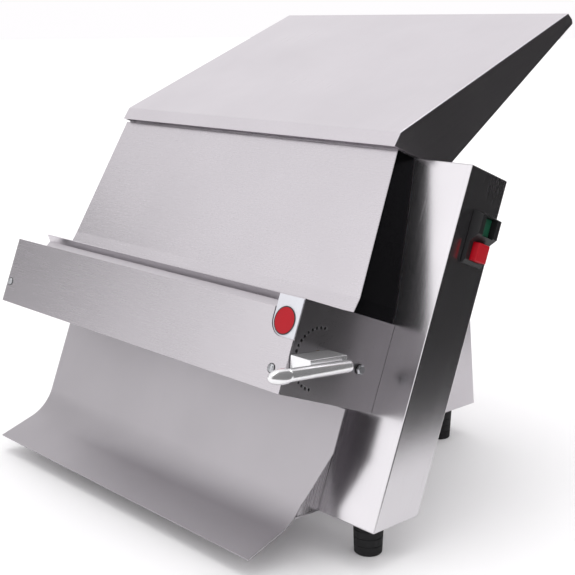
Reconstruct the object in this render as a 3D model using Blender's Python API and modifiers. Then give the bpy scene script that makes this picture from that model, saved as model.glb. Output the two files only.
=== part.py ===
"""Countertop dough sheeter: two stainless rollers between frame plates, a sloping dough shelf and
infeed slide above them, a curved outfeed tray below, a drive housing on the right and a motor cover
behind. A lever turns an eccentric shaft that sets the gap between the rollers.

Metres, +Z up, the operator stands at -Y, origin under the middle of the whole machine.
The body leans back: pieces on it are placed in the lean frame, whose origin is the middle of the
nip between the rollers, with x to the right, y into the machine and z up along the lean.
"""
import math

import bmesh
import bpy
from mathutils import Matrix, Vector

# ---- overall and frame sizes -------------------------------------------------------------------
BODY_WIDTH = 0.4486          # outer face to outer face of the two frame plates
HOUSING_WIDTH = 0.0737       # drive housing to the right of the body
LEAN = math.radians(21.0)    # how far the body leans back
NIP_HEIGHT = 0.1974          # nip above the surface the machine stands on
BODY_TOP = 0.2130            # top of the body above the nip, along the lean
BODY_DEPTH = 0.0587          # depth of the drive housing
FOOT_HEIGHT = 0.040
FRAME_PLATE = 0.0040         # frame plate thickness
SHEET = 0.0012               # casing sheet thickness
GAP = 0.0003                 # space left between touching pieces
BEND = 0.0012                # outside radius of folded edges
OVER = 0.0020                # how far a cutter runs past the face it opens
BODY_BEHIND = 0.006075       # drive housing behind the rear roller
TIE_BAR_RADIUS = 0.0060
COVER_RIM = 0.0080           # back panel left round the opening to the motor cover

# ---- rollers, gears and the gap setting --------------------------------------------------------
ROLLER_RADIUS = 0.0280
MIN_ROLLER_GAP = 0.0005
ECCENTRIC = 0.00175          # offset of the front roller's axis from the lever's pivot
HOLE_COUNT = 18              # index holes over half a turn of the lever
REST_HOLE = 10               # hole the lever stands in, counted from straight up
ROLLER_END_PLAY = 0.0008
ROLLER_CHAMFER = 0.0008
SHAFT_RADIUS = 0.0080
JOURNAL_STEP = 0.00025       # eccentric body past its journals, on the near side
FLOAT_BUSH_WALL = 0.0024
HUB_WALL = 0.0020
HUB_CLEARANCE = 0.0010
REAR_SHAFT_RADIUS = 0.0100
REAR_STEP_RADIUS = 0.0080    # rear shaft under its sprocket
BUSH_WALL = 0.0036
PIVOT_BUSH_WALL = 0.0016     # thin, so that the lever block hides it
FIT = 0.0003                 # radial clearance of every running fit
FLOAT_BUSH_LENGTH = 0.0200
FLOAT_BUSH_IN = 0.0030       # bushes in from the roller's ends
GEAR_TEETH = 18
GEAR_ADDENDUM = 0.56395       # tooth tip outside half the axis spacing, in modules
GEAR_DEDENDUM = 1.24378       # tooth root inside half the axis spacing, in modules
GEAR_WIDTH = 0.0105
GEAR_SPACE = 0.0020          # gears beside the right frame plate
SPROCKET_SPACE = 0.0045      # sprockets beside the gears
SHAFT_END_RADIUS = 0.0035
SHAFT_END_PROUD = 0.0046     # rear shaft's end outside the end wall
NUT_RADIUS = 0.0052
NUT_THICKNESS = 0.0034
GEAR_ROOT_SHARE = 0.23       # half a tooth at its root, as a share of the pitch
GEAR_TIP_SHARE = 0.06        # half a tooth at its tip, as a share of the pitch

# ---- chain drive and gearmotor -----------------------------------------------------------------
DRIVE_BEHIND = 0.036875      # drive shaft behind the rear roller's back
DRIVE_L = -0.0200            # drive shaft above the nip
ROLLER_SPROCKET = 0.0210
ROLLER_SPROCKET_TEETH = 15
DRIVE_SPROCKET = 0.0154
DRIVE_SPROCKET_TEETH = 11
SPROCKET_TOOTH = 0.0022
SPROCKET_WIDTH = 0.0030
CHAIN_WIDTH = 0.0060
CHAIN_DEPTH = 0.0045
CHAIN_CLEARANCE = 0.0008
DRIVE_SHAFT_RADIUS = 0.0080
GEARBOX = (0.0780, 0.0760, 0.0840)
GEARBOX_IN = 0.1756          # middle of the gearbox in from the right frame plate
GEARBOX_FRONT = 0.0225       # gearbox in front of its output shaft
MOTOR_RADIUS = 0.0540
MOTOR_LENGTH = 0.1500
MOTOR_RIBS = 6
RIB_PITCH = 0.0165
RIB_HEIGHT = 0.0030
FAN_CAP_LENGTH = 0.0220
BRACKET_PLATE = 0.0040
CAPACITOR_RADIUS = 0.0205
CAPACITOR_HEIGHT = 0.0800
TERMINAL_BOX = (0.0600, 0.0800, 0.0450)

# ---- roller guard ------------------------------------------------------------------------------
GUARD_AHEAD = 0.008075       # guard's front plane ahead of the front roller
GUARD_BELOW = 0.0102         # guard's lower edge below the rollers
GUARD_ABOVE = 0.0085         # guard's upper edge above the rollers
END_COVER_ABOVE = 0.0212     # top of the gear box above the rollers
END_COVER_WIDTH = 0.0331     # compartment between the right frame plate and the end wall
END_WALL = 0.0015
ARM_ABOVE = 0.0020           # arms of the frame plates above the rollers
ARM_BELOW = 0.0085
NOTCH_RADIUS = 0.0155        # round notch of the guard about the red disc
NOTCH_DEPTH = 0.0255         # bottom of the notch below the guard's upper edge
DISC_RADIUS = 0.0131
DISC_RAISE = 0.0149          # middle of the red disc above the bottom of the notch
DISC_IN = 0.0172             # middle of the red disc in from the end wall
LABEL_MARGIN = 0.0006
SCREW_RADIUS = 0.0040
SCREW_SHANK = 0.0020
SCREW_BORE = 0.0024
SCREW_REACH = 0.0009
LEFT_SCREW = (0.0064, -0.0143)     # in from the left end, above the nip
RIGHT_SCREW = (0.0173, -0.0179)    # in from the end wall, above the nip
LABEL_THICKNESS = 0.0004
INDEX_RING = 0.0286
INDEX_HOLE = 0.0018

# ---- sheets that guide the dough ---------------------------------------------------------------
SLIDE_TOP_N = 0.0368
SLIDE_BOTTOM_N = 0.0092
SLIDE_BEND_UP = 0.0148       # slide's bend above the gear box
SLIDE_END_N = 0.0057
SLIDE_TOP_OVER = 0.0017      # slide's right edge past the body, at its top
SLIDE_BOTTOM_OVER = 0.0294
TRAY_N = 0.0350
TRAY_BELOW = 0.0120          # tray's upper edge below the rollers
TRAY_BEND_L = -0.1300
TRAY_BEND_RADIUS = 0.0500
TRAY_BEND_ANGLE = math.radians(50.0)
TRAY_LIP = 0.0430
TRAY_EAR_OVER = 0.0244       # tray's right edge past the body, beside the drive
TRAY_EAR_BOTTOM = -0.0830
TRAY_OVER = 0.0027           # tray's right edge past the body, further down
TRAY_TAPER_BOTTOM = -0.1400
LIP_POINTS = ((-0.000475, 0.0220), (0.005125, 0.0152), (-0.000875, 0.0038))
GUIDE_POINTS = ((0.0085, 0.0200), (0.0060, 0.0100), (0.0045, -0.0010))
SCRAPER_SPACE = 0.0005       # blade edges off the rollers
SCRAPER_SHARE = 0.36         # how far round the roller the blades reach, as a sine

# ---- dough shelf -------------------------------------------------------------------------------
SHELF_LENGTH = 0.2940
SHELF_RISE = math.radians(22.6)
SHELF_OVER = 0.0023          # shelf's right edge past the body
SHELF_FRONT_N = 0.0300
SHELF_BACK_IN = 0.0095       # shelf's back fold in from the body's back
SHELF_UP = 0.0019            # shelf's lower edge above the body
SHELF_LIP = 0.0154
TOP_FLANGE = 0.0100           # lid's flanges above the shelf's lower edge
SHELF_LIP_ANGLE = math.radians(55.6)
SHELF_TAIL = 0.0102

# ---- motor cover -------------------------------------------------------------------------------
COVER_LEFT = 0.0110          # from the left end
COVER_RIGHT_IN = 0.1019      # in from the body's right side
COVER_BACK = 0.3796          # behind the nip, at the bottom
COVER_TOP = 0.2140           # above the surface the machine stands on
COVER_LEAN = math.radians(7.0)
VENT_COUNT = 7
VENT_PITCH = 0.0160
VENT_WIDTH = 0.0040
VENT_BOTTOM = 0.1200
VENT_TOP = 0.1700
GLAND_RADIUS = 0.0060
GLAND_IN = 0.0400
GLAND_UP = 0.0300
BASE_PLATE = 0.0020

# ---- lever -------------------------------------------------------------------------------------
LEVER_AHEAD = 0.0346
LEVER_BEHIND = 0.0111
LEVER_THICKNESS = 0.0162
LEVER_DEPTH = 0.0258
GRIP_RADIUS = 0.0058
GRIP_AHEAD = 0.0885
GRIP_BEHIND = 0.0080
KNOB_RADIUS = 0.0070
KNOB_LENGTH = 0.0215
LEVER_SPACE = 0.0006         # lever block off the end wall
JOURNAL_PROUD = 0.0100       # journal's end outside the end wall
PIN_RADIUS = 0.0030
PIN_LENGTH = 0.0150
PIN_SHOULDER = 0.0095
PIN_STEM = 0.0012
PIN_BORE_DEPTH = 0.0200
SPRING_TURNS = 4
SPRING_RADIUS = 0.0022
SPRING_WIRE = 0.00035
SPRING_LENGTH = 0.0058

# ---- switch ------------------------------------------------------------------------------------
SWITCH_BACK = 0.00445        # middle of the switch behind the middle of the housing
SWITCH_L = 0.1485
SWITCH_WIDTH = 0.0300
SWITCH_HEIGHT = 0.0510
SWITCH_PROUD = 0.0130
SWITCH_DEPTH = 0.0300
SWITCH_RIM = 0.0010          # switch flange over the edge of its window
SWITCH_FLANGE = 0.0025
SWITCH_LOW_FACE = 0.0050     # upper half's face off the housing
BUTTON_WIDTH = 0.0170
BUTTON_HEIGHT = 0.0180
BUTTON_TRAVEL = 0.0036
BUTTON_SPACE = 0.0004
BUTTON_OFFSET = 0.0125       # each button from the middle of the switch

# ---- feet --------------------------------------------------------------------------------------
FOOT_TOP_RADIUS = 0.0155
FOOT_BOTTOM_RADIUS = 0.0138
FRONT_FOOT_IN = 0.0250       # front feet in from the left end
FRONT_FOOT_RIGHT_IN = 0.0368
FRONT_FOOT_Y = 0.0400        # front feet behind the nip, level
REAR_FOOT_IN = 0.0225        # rear feet in from the sides of the motor cover
REAR_FOOT_Y = 0.3390

STEPS = 40                   # facets round a turned piece

# ---- places worked out from the sizes ----------------------------------------------------------
SIN = math.sin(LEAN)
COS = math.cos(LEAN)
LEFT = -(BODY_WIDTH + HOUSING_WIDTH + SWITCH_PROUD) / 2
LEFT_INNER = LEFT + FRAME_PLATE
RIGHT_OUTER = LEFT + BODY_WIDTH
RIGHT_INNER = RIGHT_OUTER - FRAME_PLATE
HOUSING_RIGHT = RIGHT_OUTER + HOUSING_WIDTH
END_FACE = RIGHT_OUTER + END_COVER_WIDTH
AXIS_SPACING = 2 * ROLLER_RADIUS + MIN_ROLLER_GAP + ECCENTRIC
PIVOT_N = -AXIS_SPACING / 2
REAR_N = AXIS_SPACING / 2
BODY_FRONT = REAR_N + ROLLER_RADIUS + BODY_BEHIND
BODY_BACK = BODY_FRONT + BODY_DEPTH
GUARD_FRONT = PIVOT_N - ROLLER_RADIUS - GUARD_AHEAD
GUARD_BOTTOM = -ROLLER_RADIUS - GUARD_BELOW
GUARD_TOP = ROLLER_RADIUS + GUARD_ABOVE
ARM_TOP = ROLLER_RADIUS + ARM_ABOVE
ARM_BOTTOM = -ROLLER_RADIUS - ARM_BELOW
END_COVER_TOP = ROLLER_RADIUS + END_COVER_ABOVE
NOTCH_BOTTOM = GUARD_TOP - NOTCH_DEPTH
DISC_X = END_FACE - DISC_IN
DISC_L = NOTCH_BOTTOM + DISC_RAISE
GUARD_SCREWS = (("left", LEFT + LEFT_SCREW[0], LEFT_SCREW[1]),
                ("right", END_FACE - RIGHT_SCREW[0], RIGHT_SCREW[1]))
JOURNAL_RADIUS = SHAFT_RADIUS - ECCENTRIC - JOURNAL_STEP
ROLLER_BORE = SHAFT_RADIUS + FLOAT_BUSH_WALL + 2 * FIT
HUB_RADIUS = ROLLER_BORE + HUB_WALL
GEAR_MODULE = AXIS_SPACING / GEAR_TEETH
GEAR_TIP = AXIS_SPACING / 2 + GEAR_ADDENDUM * GEAR_MODULE
GEAR_ROOT = AXIS_SPACING / 2 - GEAR_DEDENDUM * GEAR_MODULE
DRIVE_N = REAR_N + ROLLER_RADIUS + DRIVE_BEHIND
SLIDE_BEND_L = END_COVER_TOP + SLIDE_BEND_UP
SLIDE_END_L = END_COVER_TOP + 2 * GAP
TRAY_TOP = -ROLLER_RADIUS - TRAY_BELOW
SHELF_BACK_N = BODY_BACK - SHELF_BACK_IN
SHELF_SEAT = BODY_TOP + SHELF_UP
COVER_RIGHT = BODY_WIDTH - COVER_RIGHT_IN
SWITCH_N = BODY_FRONT + BODY_DEPTH / 2 + SWITCH_BACK
HOLE_PITCH = math.pi / (HOLE_COUNT - 1)
REST_ANGLE = REST_HOLE * HOLE_PITCH
ROLLER_N = PIVOT_N - ECCENTRIC * math.cos(REST_ANGLE)
ROLLER_L = -ECCENTRIC * math.sin(REST_ANGLE)
GEAR_LEFT = RIGHT_OUTER + GEAR_SPACE
GEAR_RIGHT = GEAR_LEFT + GEAR_WIDTH
SPROCKET_LEFT = GEAR_RIGHT + SPROCKET_SPACE
SPROCKET_RIGHT = SPROCKET_LEFT + SPROCKET_WIDTH
FLOOR = FOOT_HEIGHT + BASE_PLATE + GAP


def level(n, l):
    """Lean-frame (n, l) as level (y, z) measured from the nip."""
    return n * COS + l * SIN, -n * SIN + l * COS


def lean_height(n, z):
    """Height along the lean where the plane n stands z above the ground."""
    return (z - NIP_HEIGHT + n * SIN) / COS


def tray_profile():
    """Tray in (n, l): straight down, round its bend, then out to its tip."""
    points = [(TRAY_N, TRAY_TOP), (TRAY_N, TRAY_EAR_BOTTOM), (TRAY_N, TRAY_BEND_L)]
    steps = 10
    for i in range(1, steps + 1):
        turn = TRAY_BEND_ANGLE * i / steps
        points.append((TRAY_N - TRAY_BEND_RADIUS * (1 - math.cos(turn)),
                       TRAY_BEND_L - TRAY_BEND_RADIUS * math.sin(turn)))
    n, l = points[-1]
    points.append((n - TRAY_LIP * math.sin(TRAY_BEND_ANGLE), l - TRAY_LIP * math.cos(TRAY_BEND_ANGLE)))
    return points


def shelf_profile():
    """Shelf in level (y, z) from the nip: front lip, top, tail and the seat on the body."""
    front = Vector(level(SHELF_FRONT_N, SHELF_SEAT))
    edge = front + SHELF_LIP * Vector((math.cos(SHELF_LIP_ANGLE), math.sin(SHELF_LIP_ANGLE)))
    back = edge + SHELF_LENGTH * Vector((math.cos(SHELF_RISE), math.sin(SHELF_RISE)))
    tail = back + SHELF_TAIL * Vector((0.78, -0.62))
    tip = tail + SHELF_TAIL * Vector((0.14, -0.43))
    seat = Vector(level(SHELF_BACK_N, SHELF_SEAT))
    return [front, edge, back, tail, tip, seat]


GRIP_TIP = level(PIVOT_N - GRIP_AHEAD * math.sin(REST_ANGLE), GRIP_AHEAD * math.cos(REST_ANGLE))
FRONT_REACH = min(GRIP_TIP[0], min(level(n, l)[0] for n, l in tray_profile()))
BACK_REACH = max(point.x for point in shelf_profile())
NIP_Y = -(FRONT_REACH + BACK_REACH) / 2


# ---- scene and helpers -------------------------------------------------------------------------
def clear_scene():
    for item in list(bpy.data.objects):
        bpy.data.objects.remove(item, do_unlink=True)


def make_collection(name):
    group = bpy.data.collections.new(name)
    bpy.context.scene.collection.children.link(group)
    return group


def material(name, colour, roughness, metallic):
    mat = bpy.data.materials.new(name)
    mat.use_nodes = True
    shader = mat.node_tree.nodes["Principled BSDF"]
    shader.inputs["Base Color"].default_value = (*colour, 1.0)
    shader.inputs["Roughness"].default_value = roughness
    shader.inputs["Metallic"].default_value = metallic
    return mat


def empty(name, location, rotation_x=0.0):
    item = bpy.data.objects.new(name, None)
    item.location = location
    item.rotation_euler = (rotation_x, 0.0, 0.0)
    PARTS.objects.link(item)
    return item


def add(name, bm, finish, parent, location=(0, 0, 0), group=None):
    """Puts the bmesh in a named object under its parent frame."""
    mesh = bpy.data.meshes.new(name)
    bm.normal_update()
    bm.to_mesh(mesh)
    bm.free()
    item = bpy.data.objects.new(name, mesh)
    item.parent = parent
    item.location = location
    if finish:
        mesh.materials.append(finish)
    (group or PARTS).objects.link(item)
    return item


def box(name, low, high, finish, parent, group=None, origin=None):
    """Box between two corners, with its origin in its middle or at a given point."""
    low, high = Vector(low), Vector(high)
    origin = Vector(origin) if origin else (low + high) / 2
    bm = bmesh.new()
    bmesh.ops.create_cube(bm, size=1.0, matrix=Matrix.Diagonal((*(high - low), 1.0)))
    bmesh.ops.translate(bm, verts=bm.verts, vec=(low + high) / 2 - origin)
    return add(name, bm, finish, parent, origin, group)


def prism(name, outline, start, end, finish, parent, axis="X", origin=(0, 0, 0), group=None):
    """Flat outline swept along an axis: (y, z) along X, (x, z) along Y or (x, y) along Z."""
    order = {"X": (2, 0, 1), "Y": (0, 2, 1), "Z": (0, 1, 2)}[axis]

    def place(*flat):
        return Vector([flat[i] for i in order])

    origin = Vector(origin)
    bm = bmesh.new()
    verts = [bm.verts.new(place(a, b, start) - origin) for a, b in outline]
    face = bm.faces.new(verts)
    swept = bmesh.ops.extrude_face_region(bm, geom=[face])
    moved = [v for v in swept["geom"] if isinstance(v, bmesh.types.BMVert)]
    bmesh.ops.translate(bm, verts=moved, vec=place(0, 0, end - start))
    bmesh.ops.recalc_face_normals(bm, faces=bm.faces)
    return add(name, bm, finish, parent, origin, group)


def rod(name, radius, start, end, n, l, finish, parent, group=None, sides=STEPS):
    """Cylinder along X, its origin on its own axis."""
    bm = bmesh.new()
    turn = Matrix.Translation(((start + end) / 2, 0, 0)) @ Matrix.Rotation(math.pi / 2, 4, "Y")
    bmesh.ops.create_cone(bm, cap_ends=True, segments=sides, radius1=radius, radius2=radius,
                          depth=end - start, matrix=turn)
    item = add(name, bm, finish, parent, (0, n, l), group)
    item.data.shade_smooth()
    item.data.set_sharp_from_angle(angle=math.radians(40))
    return item


def turned(name, profile, finish, parent, location=(0, 0, 0), along_x=True, closed=False,
           steps=STEPS, group=None):
    """Turned piece from (radius, height) with its outer side running down; height can run along X."""
    bm = bmesh.new()
    verts = [bm.verts.new((r, 0, h)) for r, h in profile]
    for a, b in zip(verts, verts[1:]):
        bm.edges.new((a, b))
    if closed:
        bm.edges.new((verts[-1], verts[0]))
    item = add(name, bm, finish, parent, location, group)
    if along_x:
        item.rotation_euler = (0, math.pi / 2, 0)
    screw = item.modifiers.new("turn", "SCREW")
    screw.steps = screw.render_steps = steps
    screw.use_merge_vertices = True
    screw.merge_threshold = 0.00001
    screw.use_smooth_shade = False
    return item


def ring(name, outer, inner, start, end, n, l, finish, parent, steps=STEPS):
    """Plain bush or washer along X."""
    profile = [(inner, end), (outer, end), (outer, start), (inner, start)]
    return turned(name, profile, finish, parent, (0, n, l), closed=True, steps=steps)


def strip(rows):
    """Open surface from rows of (left x, right x, n, l), as a bmesh."""
    bm = bmesh.new()
    first = [bm.verts.new((left, n, l)) for left, _, n, l in rows]
    edges = [bm.edges.new(pair) for pair in zip(first, first[1:])]
    swept = bmesh.ops.extrude_edge_only(bm, edges=edges)
    moved = {v.co.to_tuple(6): v for v in swept["geom"] if isinstance(v, bmesh.types.BMVert)}
    for left, right, n, l in rows:
        moved[Vector((left, n, l)).to_tuple(6)].co.x = right
    return bm


def thicken(item, thickness, offset, bend=0.0):
    """Solidify an open shell after rounding its folds."""
    if bend:
        bevel = item.modifiers.new("folds", "BEVEL")
        bevel.width = bend
        bevel.segments = 2
        bevel.limit_method = "ANGLE"
        bevel.angle_limit = math.radians(25)
    solid = item.modifiers.new("sheet", "SOLIDIFY")
    solid.thickness = thickness
    solid.offset = offset
    solid.use_even_offset = True
    return item


def cut(item, cutter):
    """Takes the cutter's shape out of a piece."""
    cutter.hide_render = True
    cutter.display_type = "WIRE"
    step = item.modifiers.new("cut " + cutter.name, "BOOLEAN")
    step.operation = "DIFFERENCE"
    step.object = cutter
    return item


def join(item, piece):
    """Adds another shape to a piece."""
    cut(item, piece)
    item.modifiers[-1].operation = "UNION"
    return item


def soften(item, width, segments=2):
    bevel = item.modifiers.new("edges", "BEVEL")
    bevel.width = width
    bevel.segments = segments
    bevel.limit_method = "ANGLE"
    bevel.angle_limit = math.radians(40)
    return item


def drill(item, name, radius, start, end, n, l, parent, sides=STEPS):
    """Round hole along X."""
    return cut(item, rod(name, radius, start, end, n, l, None, parent, CUTTERS, sides))


clear_scene()
PARTS = make_collection("dough_sheeter")
CUTTERS = make_collection("cutters")
STEEL = material("brushed_stainless", (0.62, 0.61, 0.62), 0.30, 1.0)
POLISHED = material("polished_stainless", (0.72, 0.72, 0.73), 0.12, 1.0)
ZINC = material("zinc_steel", (0.50, 0.51, 0.53), 0.40, 1.0)
BRONZE = material("bronze", (0.55, 0.36, 0.16), 0.35, 1.0)
BLACK_PLASTIC = material("black_plastic", (0.015, 0.015, 0.016), 0.45, 0.0)
RUBBER = material("black_rubber", (0.02, 0.02, 0.02), 0.80, 0.0)
RED = material("red_plastic", (0.60, 0.02, 0.03), 0.35, 0.0)
GREEN = material("green_plastic", (0.01, 0.12, 0.06), 0.40, 0.0)
LABEL = material("white_label", (0.80, 0.80, 0.82), 0.40, 0.0)
GREY_PAINT = material("grey_paint", (0.22, 0.24, 0.27), 0.50, 0.0)
GROUND = empty("ground_frame", (0, NIP_Y, 0))
LEVEL = empty("level_frame", (0, NIP_Y, NIP_HEIGHT))
BODY = empty("lean_frame", (0, NIP_Y, NIP_HEIGHT), -LEAN)


# ---- frame -------------------------------------------------------------------------------------
def slide_n(l):
    """Slide's face at height l on its flat part."""
    share = (l - SLIDE_BEND_L) / (BODY_TOP - SLIDE_BEND_L)
    return SLIDE_BOTTOM_N + share * (SLIDE_TOP_N - SLIDE_BOTTOM_N)


def frame_outline():
    """Frame plate in (n, l): leaning body with an arm that carries the rollers."""
    front = TRAY_N + SHEET + GAP
    back = BODY_BACK - SHEET - 2 * GAP
    behind = SHEET + 2 * GAP
    top = BODY_TOP - SHEET - 3 * GAP
    nose = GUARD_FRONT + SHEET + GAP
    return [(slide_n(top) + behind, top), (slide_n(SLIDE_BEND_L) + behind, SLIDE_BEND_L),
            (slide_n(SLIDE_BEND_L) + behind, ARM_TOP), (nose, ARM_TOP), (nose, ARM_BOTTOM),
            (front, ARM_BOTTOM), (front, lean_height(front, FLOOR)), (back, lean_height(back, FLOOR)),
            (back, top)]


def frame_plates():
    left = prism("left_frame_plate", frame_outline(), LEFT, LEFT_INNER, STEEL, BODY)
    right = prism("right_frame_plate", frame_outline(), RIGHT_INNER, RIGHT_OUTER - GAP, STEEL, BODY)
    bush = BUSH_WALL + FIT + GAP
    for plate, side, low in ((left, "left", LEFT), (right, "right", RIGHT_INNER)):
        bore_plate(plate, side + "_rear_bore", REAR_SHAFT_RADIUS + bush, low, REAR_N, 0)
    bore_plate(left, "left_pivot_bore", JOURNAL_RADIUS + bush, LEFT, PIVOT_N, 0)
    bore_plate(right, "hub_hole", HUB_RADIUS + ECCENTRIC + HUB_CLEARANCE, RIGHT_INNER, PIVOT_N, 0)
    bore_plate(right, "drive_bore", DRIVE_SHAFT_RADIUS + bush, RIGHT_INNER, DRIVE_N, DRIVE_L)


def bore_plate(plate, name, radius, low, n, l):
    """Round hole right through a frame plate whose left face is at low."""
    drill(plate, name, radius, low - OVER, low + FRAME_PLATE + OVER, n, l, BODY)


def plate_bushes():
    """Bronze bushes pressed into the frame plates, flush with both faces."""
    for name, radius, low, high, n, l in (
            ("rear_bush_left", REAR_SHAFT_RADIUS, LEFT, LEFT_INNER, REAR_N, 0),
            ("rear_bush_right", REAR_SHAFT_RADIUS, RIGHT_INNER, RIGHT_OUTER - GAP, REAR_N, 0),
            ("pivot_bush_left", JOURNAL_RADIUS, LEFT, LEFT_INNER, PIVOT_N, 0),
            ("drive_bush", DRIVE_SHAFT_RADIUS, RIGHT_INNER, RIGHT_OUTER - GAP, DRIVE_N, DRIVE_L)):
        ring(name, radius + FIT + BUSH_WALL, radius + FIT, low, high, n, l, BRONZE, BODY)


def tie_bars():
    """Round bars that hold the frame plates apart, near the top and the bottom of the body."""
    low = lean_height(BODY_FRONT, FOOT_HEIGHT)
    for name, n, l in (("upper_tie_bar", BODY_FRONT + 2 * TIE_BAR_RADIUS, BODY_TOP - 5 * TIE_BAR_RADIUS),
                       ("lower_tie_bar", BODY_FRONT - 2 * TIE_BAR_RADIUS, low + 5 * TIE_BAR_RADIUS)):
        rod(name, TIE_BAR_RADIUS, LEFT_INNER + GAP, RIGHT_INNER - GAP, n, l, ZINC, BODY, sides=24)


def base_plate():
    """Floor of the body and of the motor cover, in (x, y) from the nip."""
    front, _ = level(TRAY_N + SHEET + GAP, lean_height(TRAY_N, FOOT_HEIGHT))
    back, _ = level(BODY_BACK, lean_height(BODY_BACK, FOOT_HEIGHT))
    wall = SHEET + GAP
    left, right = LEFT + COVER_LEFT + wall, LEFT + COVER_RIGHT - wall
    outline = [(LEFT, front), (RIGHT_OUTER - GAP, front), (RIGHT_OUTER - GAP, back), (right, back),
               (right, COVER_BACK - wall - GAP), (left, COVER_BACK - wall - GAP), (left, back), (LEFT, back)]
    prism("base_plate", outline, FOOT_HEIGHT, FOOT_HEIGHT + BASE_PLATE, STEEL, GROUND, axis="Z")


def back_panel():
    """Back of the body, open towards the motor cover."""
    low = BODY_BACK - SHEET - GAP
    bottom = lean_height(BODY_BACK, FLOOR)
    high = (RIGHT_OUTER - GAP, BODY_BACK - GAP, BODY_TOP - SHEET - 3 * GAP)
    panel = box("back_panel", (LEFT, low, bottom), high, STEEL, BODY)
    top = lean_height(BODY_BACK, COVER_TOP) - COVER_RIM
    cut(panel, box("motor_window", (LEFT + COVER_LEFT + COVER_RIM, low - OVER, bottom - OVER),
                   (LEFT + COVER_RIGHT - COVER_RIM, BODY_BACK + OVER, top), None, BODY, CUTTERS))


def top_plate():
    """Lid of the body, turned up in front and on the right, inside the shelf's lip and wall."""
    front, bottom = SLIDE_TOP_N + 2 * SHEET, BODY_TOP - SHEET - 2 * GAP
    right, top = RIGHT_OUTER - GAP, SHELF_SEAT + TOP_FLANGE
    plate = box("top_plate", (LEFT, front, bottom),
                (right, BODY_BACK - GAP, BODY_TOP - 2 * GAP), STEEL, BODY)
    join(plate, box("front_flange", (LEFT + 2 * SHEET, front, bottom),
                    (right, front + SHEET, top), None, BODY, CUTTERS))
    join(plate, box("right_flange", (right - SHEET, front, bottom),
                    (right, SHELF_BACK_N - TOP_FLANGE, top), None, BODY, CUTTERS))


# ---- casings -----------------------------------------------------------------------------------
def side_housing():
    """Drive housing: folded sheet, open on its left where the frame plate closes it."""
    left, right = RIGHT_OUTER, HOUSING_RIGHT
    front, back = BODY_FRONT, BODY_BACK
    outline = [(front, lean_height(front, FOOT_HEIGHT)), (back, lean_height(back, FOOT_HEIGHT)),
               (back, BODY_TOP), (front, BODY_TOP)]
    shell = prism("side_housing", outline, left, right, POLISHED, BODY)
    open_side(shell, lambda face: face.normal.x < -0.9)
    thicken(shell, SHEET, -1.0, BEND)
    cut(shell, box("chain_window", (left + SHEET + GAP, BODY_FRONT - OVER, GUARD_BOTTOM + 2 * END_WALL),
                   (END_FACE - 2 * END_WALL, BODY_FRONT + SHEET + OVER, ROLLER_RADIUS), None, BODY, CUTTERS))
    half_n, half_l = SWITCH_WIDTH / 2 - SWITCH_RIM, SWITCH_HEIGHT / 2 - SWITCH_RIM
    cut(shell, box("switch_window", (right - SHEET - OVER, SWITCH_N - half_n, SWITCH_L - half_l),
                   (right + OVER, SWITCH_N + half_n, SWITCH_L + half_l), None, BODY, CUTTERS))


def open_side(item, chosen):
    """Removes the faces that the test picks, which opens a closed shell."""
    bm = bmesh.new()
    bm.from_mesh(item.data)
    bm.normal_update()
    bmesh.ops.delete(bm, geom=[face for face in bm.faces if chosen(face)], context="FACES")
    bm.to_mesh(item.data)
    bm.free()


def motor_cover():
    """Rear cover, open at the body and at the base plate; leans forward going up."""
    low = FOOT_HEIGHT
    bottom_y, _ = level(BODY_BACK + GAP, lean_height(BODY_BACK, low))
    top_y, _ = level(BODY_BACK + GAP, lean_height(BODY_BACK, COVER_TOP))
    back_top = COVER_BACK - (COVER_TOP - low) * math.tan(COVER_LEAN)
    outline = [(bottom_y, low), (COVER_BACK, low), (back_top, COVER_TOP), (top_y, COVER_TOP)]
    shell = prism("motor_cover", outline, LEFT + COVER_LEFT, LEFT + COVER_RIGHT, STEEL, GROUND)
    open_side(shell, lambda face: face.normal.z < -0.9
              or (face.normal.y < -0.5 and abs(face.normal.x) < 0.1))
    thicken(shell, SHEET, -1.0, BEND)
    first = LEFT + (COVER_LEFT + COVER_RIGHT - VENT_COUNT * VENT_PITCH) / 2
    for i in range(VENT_COUNT):
        x = first + i * VENT_PITCH
        cut(shell, box("vent_slot_%d" % i, (x, back_top - OVER, VENT_BOTTOM),
                       (x + VENT_WIDTH, COVER_BACK + OVER, VENT_TOP), None, GROUND, CUTTERS))
    bore, deep = GLAND_RADIUS + 2 * GAP, 5 * SHEET
    hole = turned("gland_hole", [(0, deep), (bore, deep), (bore, -deep), (0, -deep)], None, GROUND,
                  gland_place(), along_x=False, steps=24, group=CUTTERS)
    hole.rotation_euler = (-math.pi / 2 + COVER_LEAN, 0, 0)
    cut(shell, hole)


def dough_shelf():
    """Sloping shelf with a front lip, two triangular side walls and a turned-down tail; open below."""
    outline = [tuple(point) for point in shelf_profile()]
    shell = prism("dough_shelf", outline, LEFT, RIGHT_OUTER + SHELF_OVER, STEEL, LEVEL)
    smallest = 0.1 * SHELF_LENGTH * BODY_WIDTH
    open_side(shell, lambda face: face.normal.z < -0.3 and abs(face.normal.x) < 0.1
              and face.calc_area() > smallest)
    thicken(shell, SHEET, -1.0, BEND)


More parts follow.
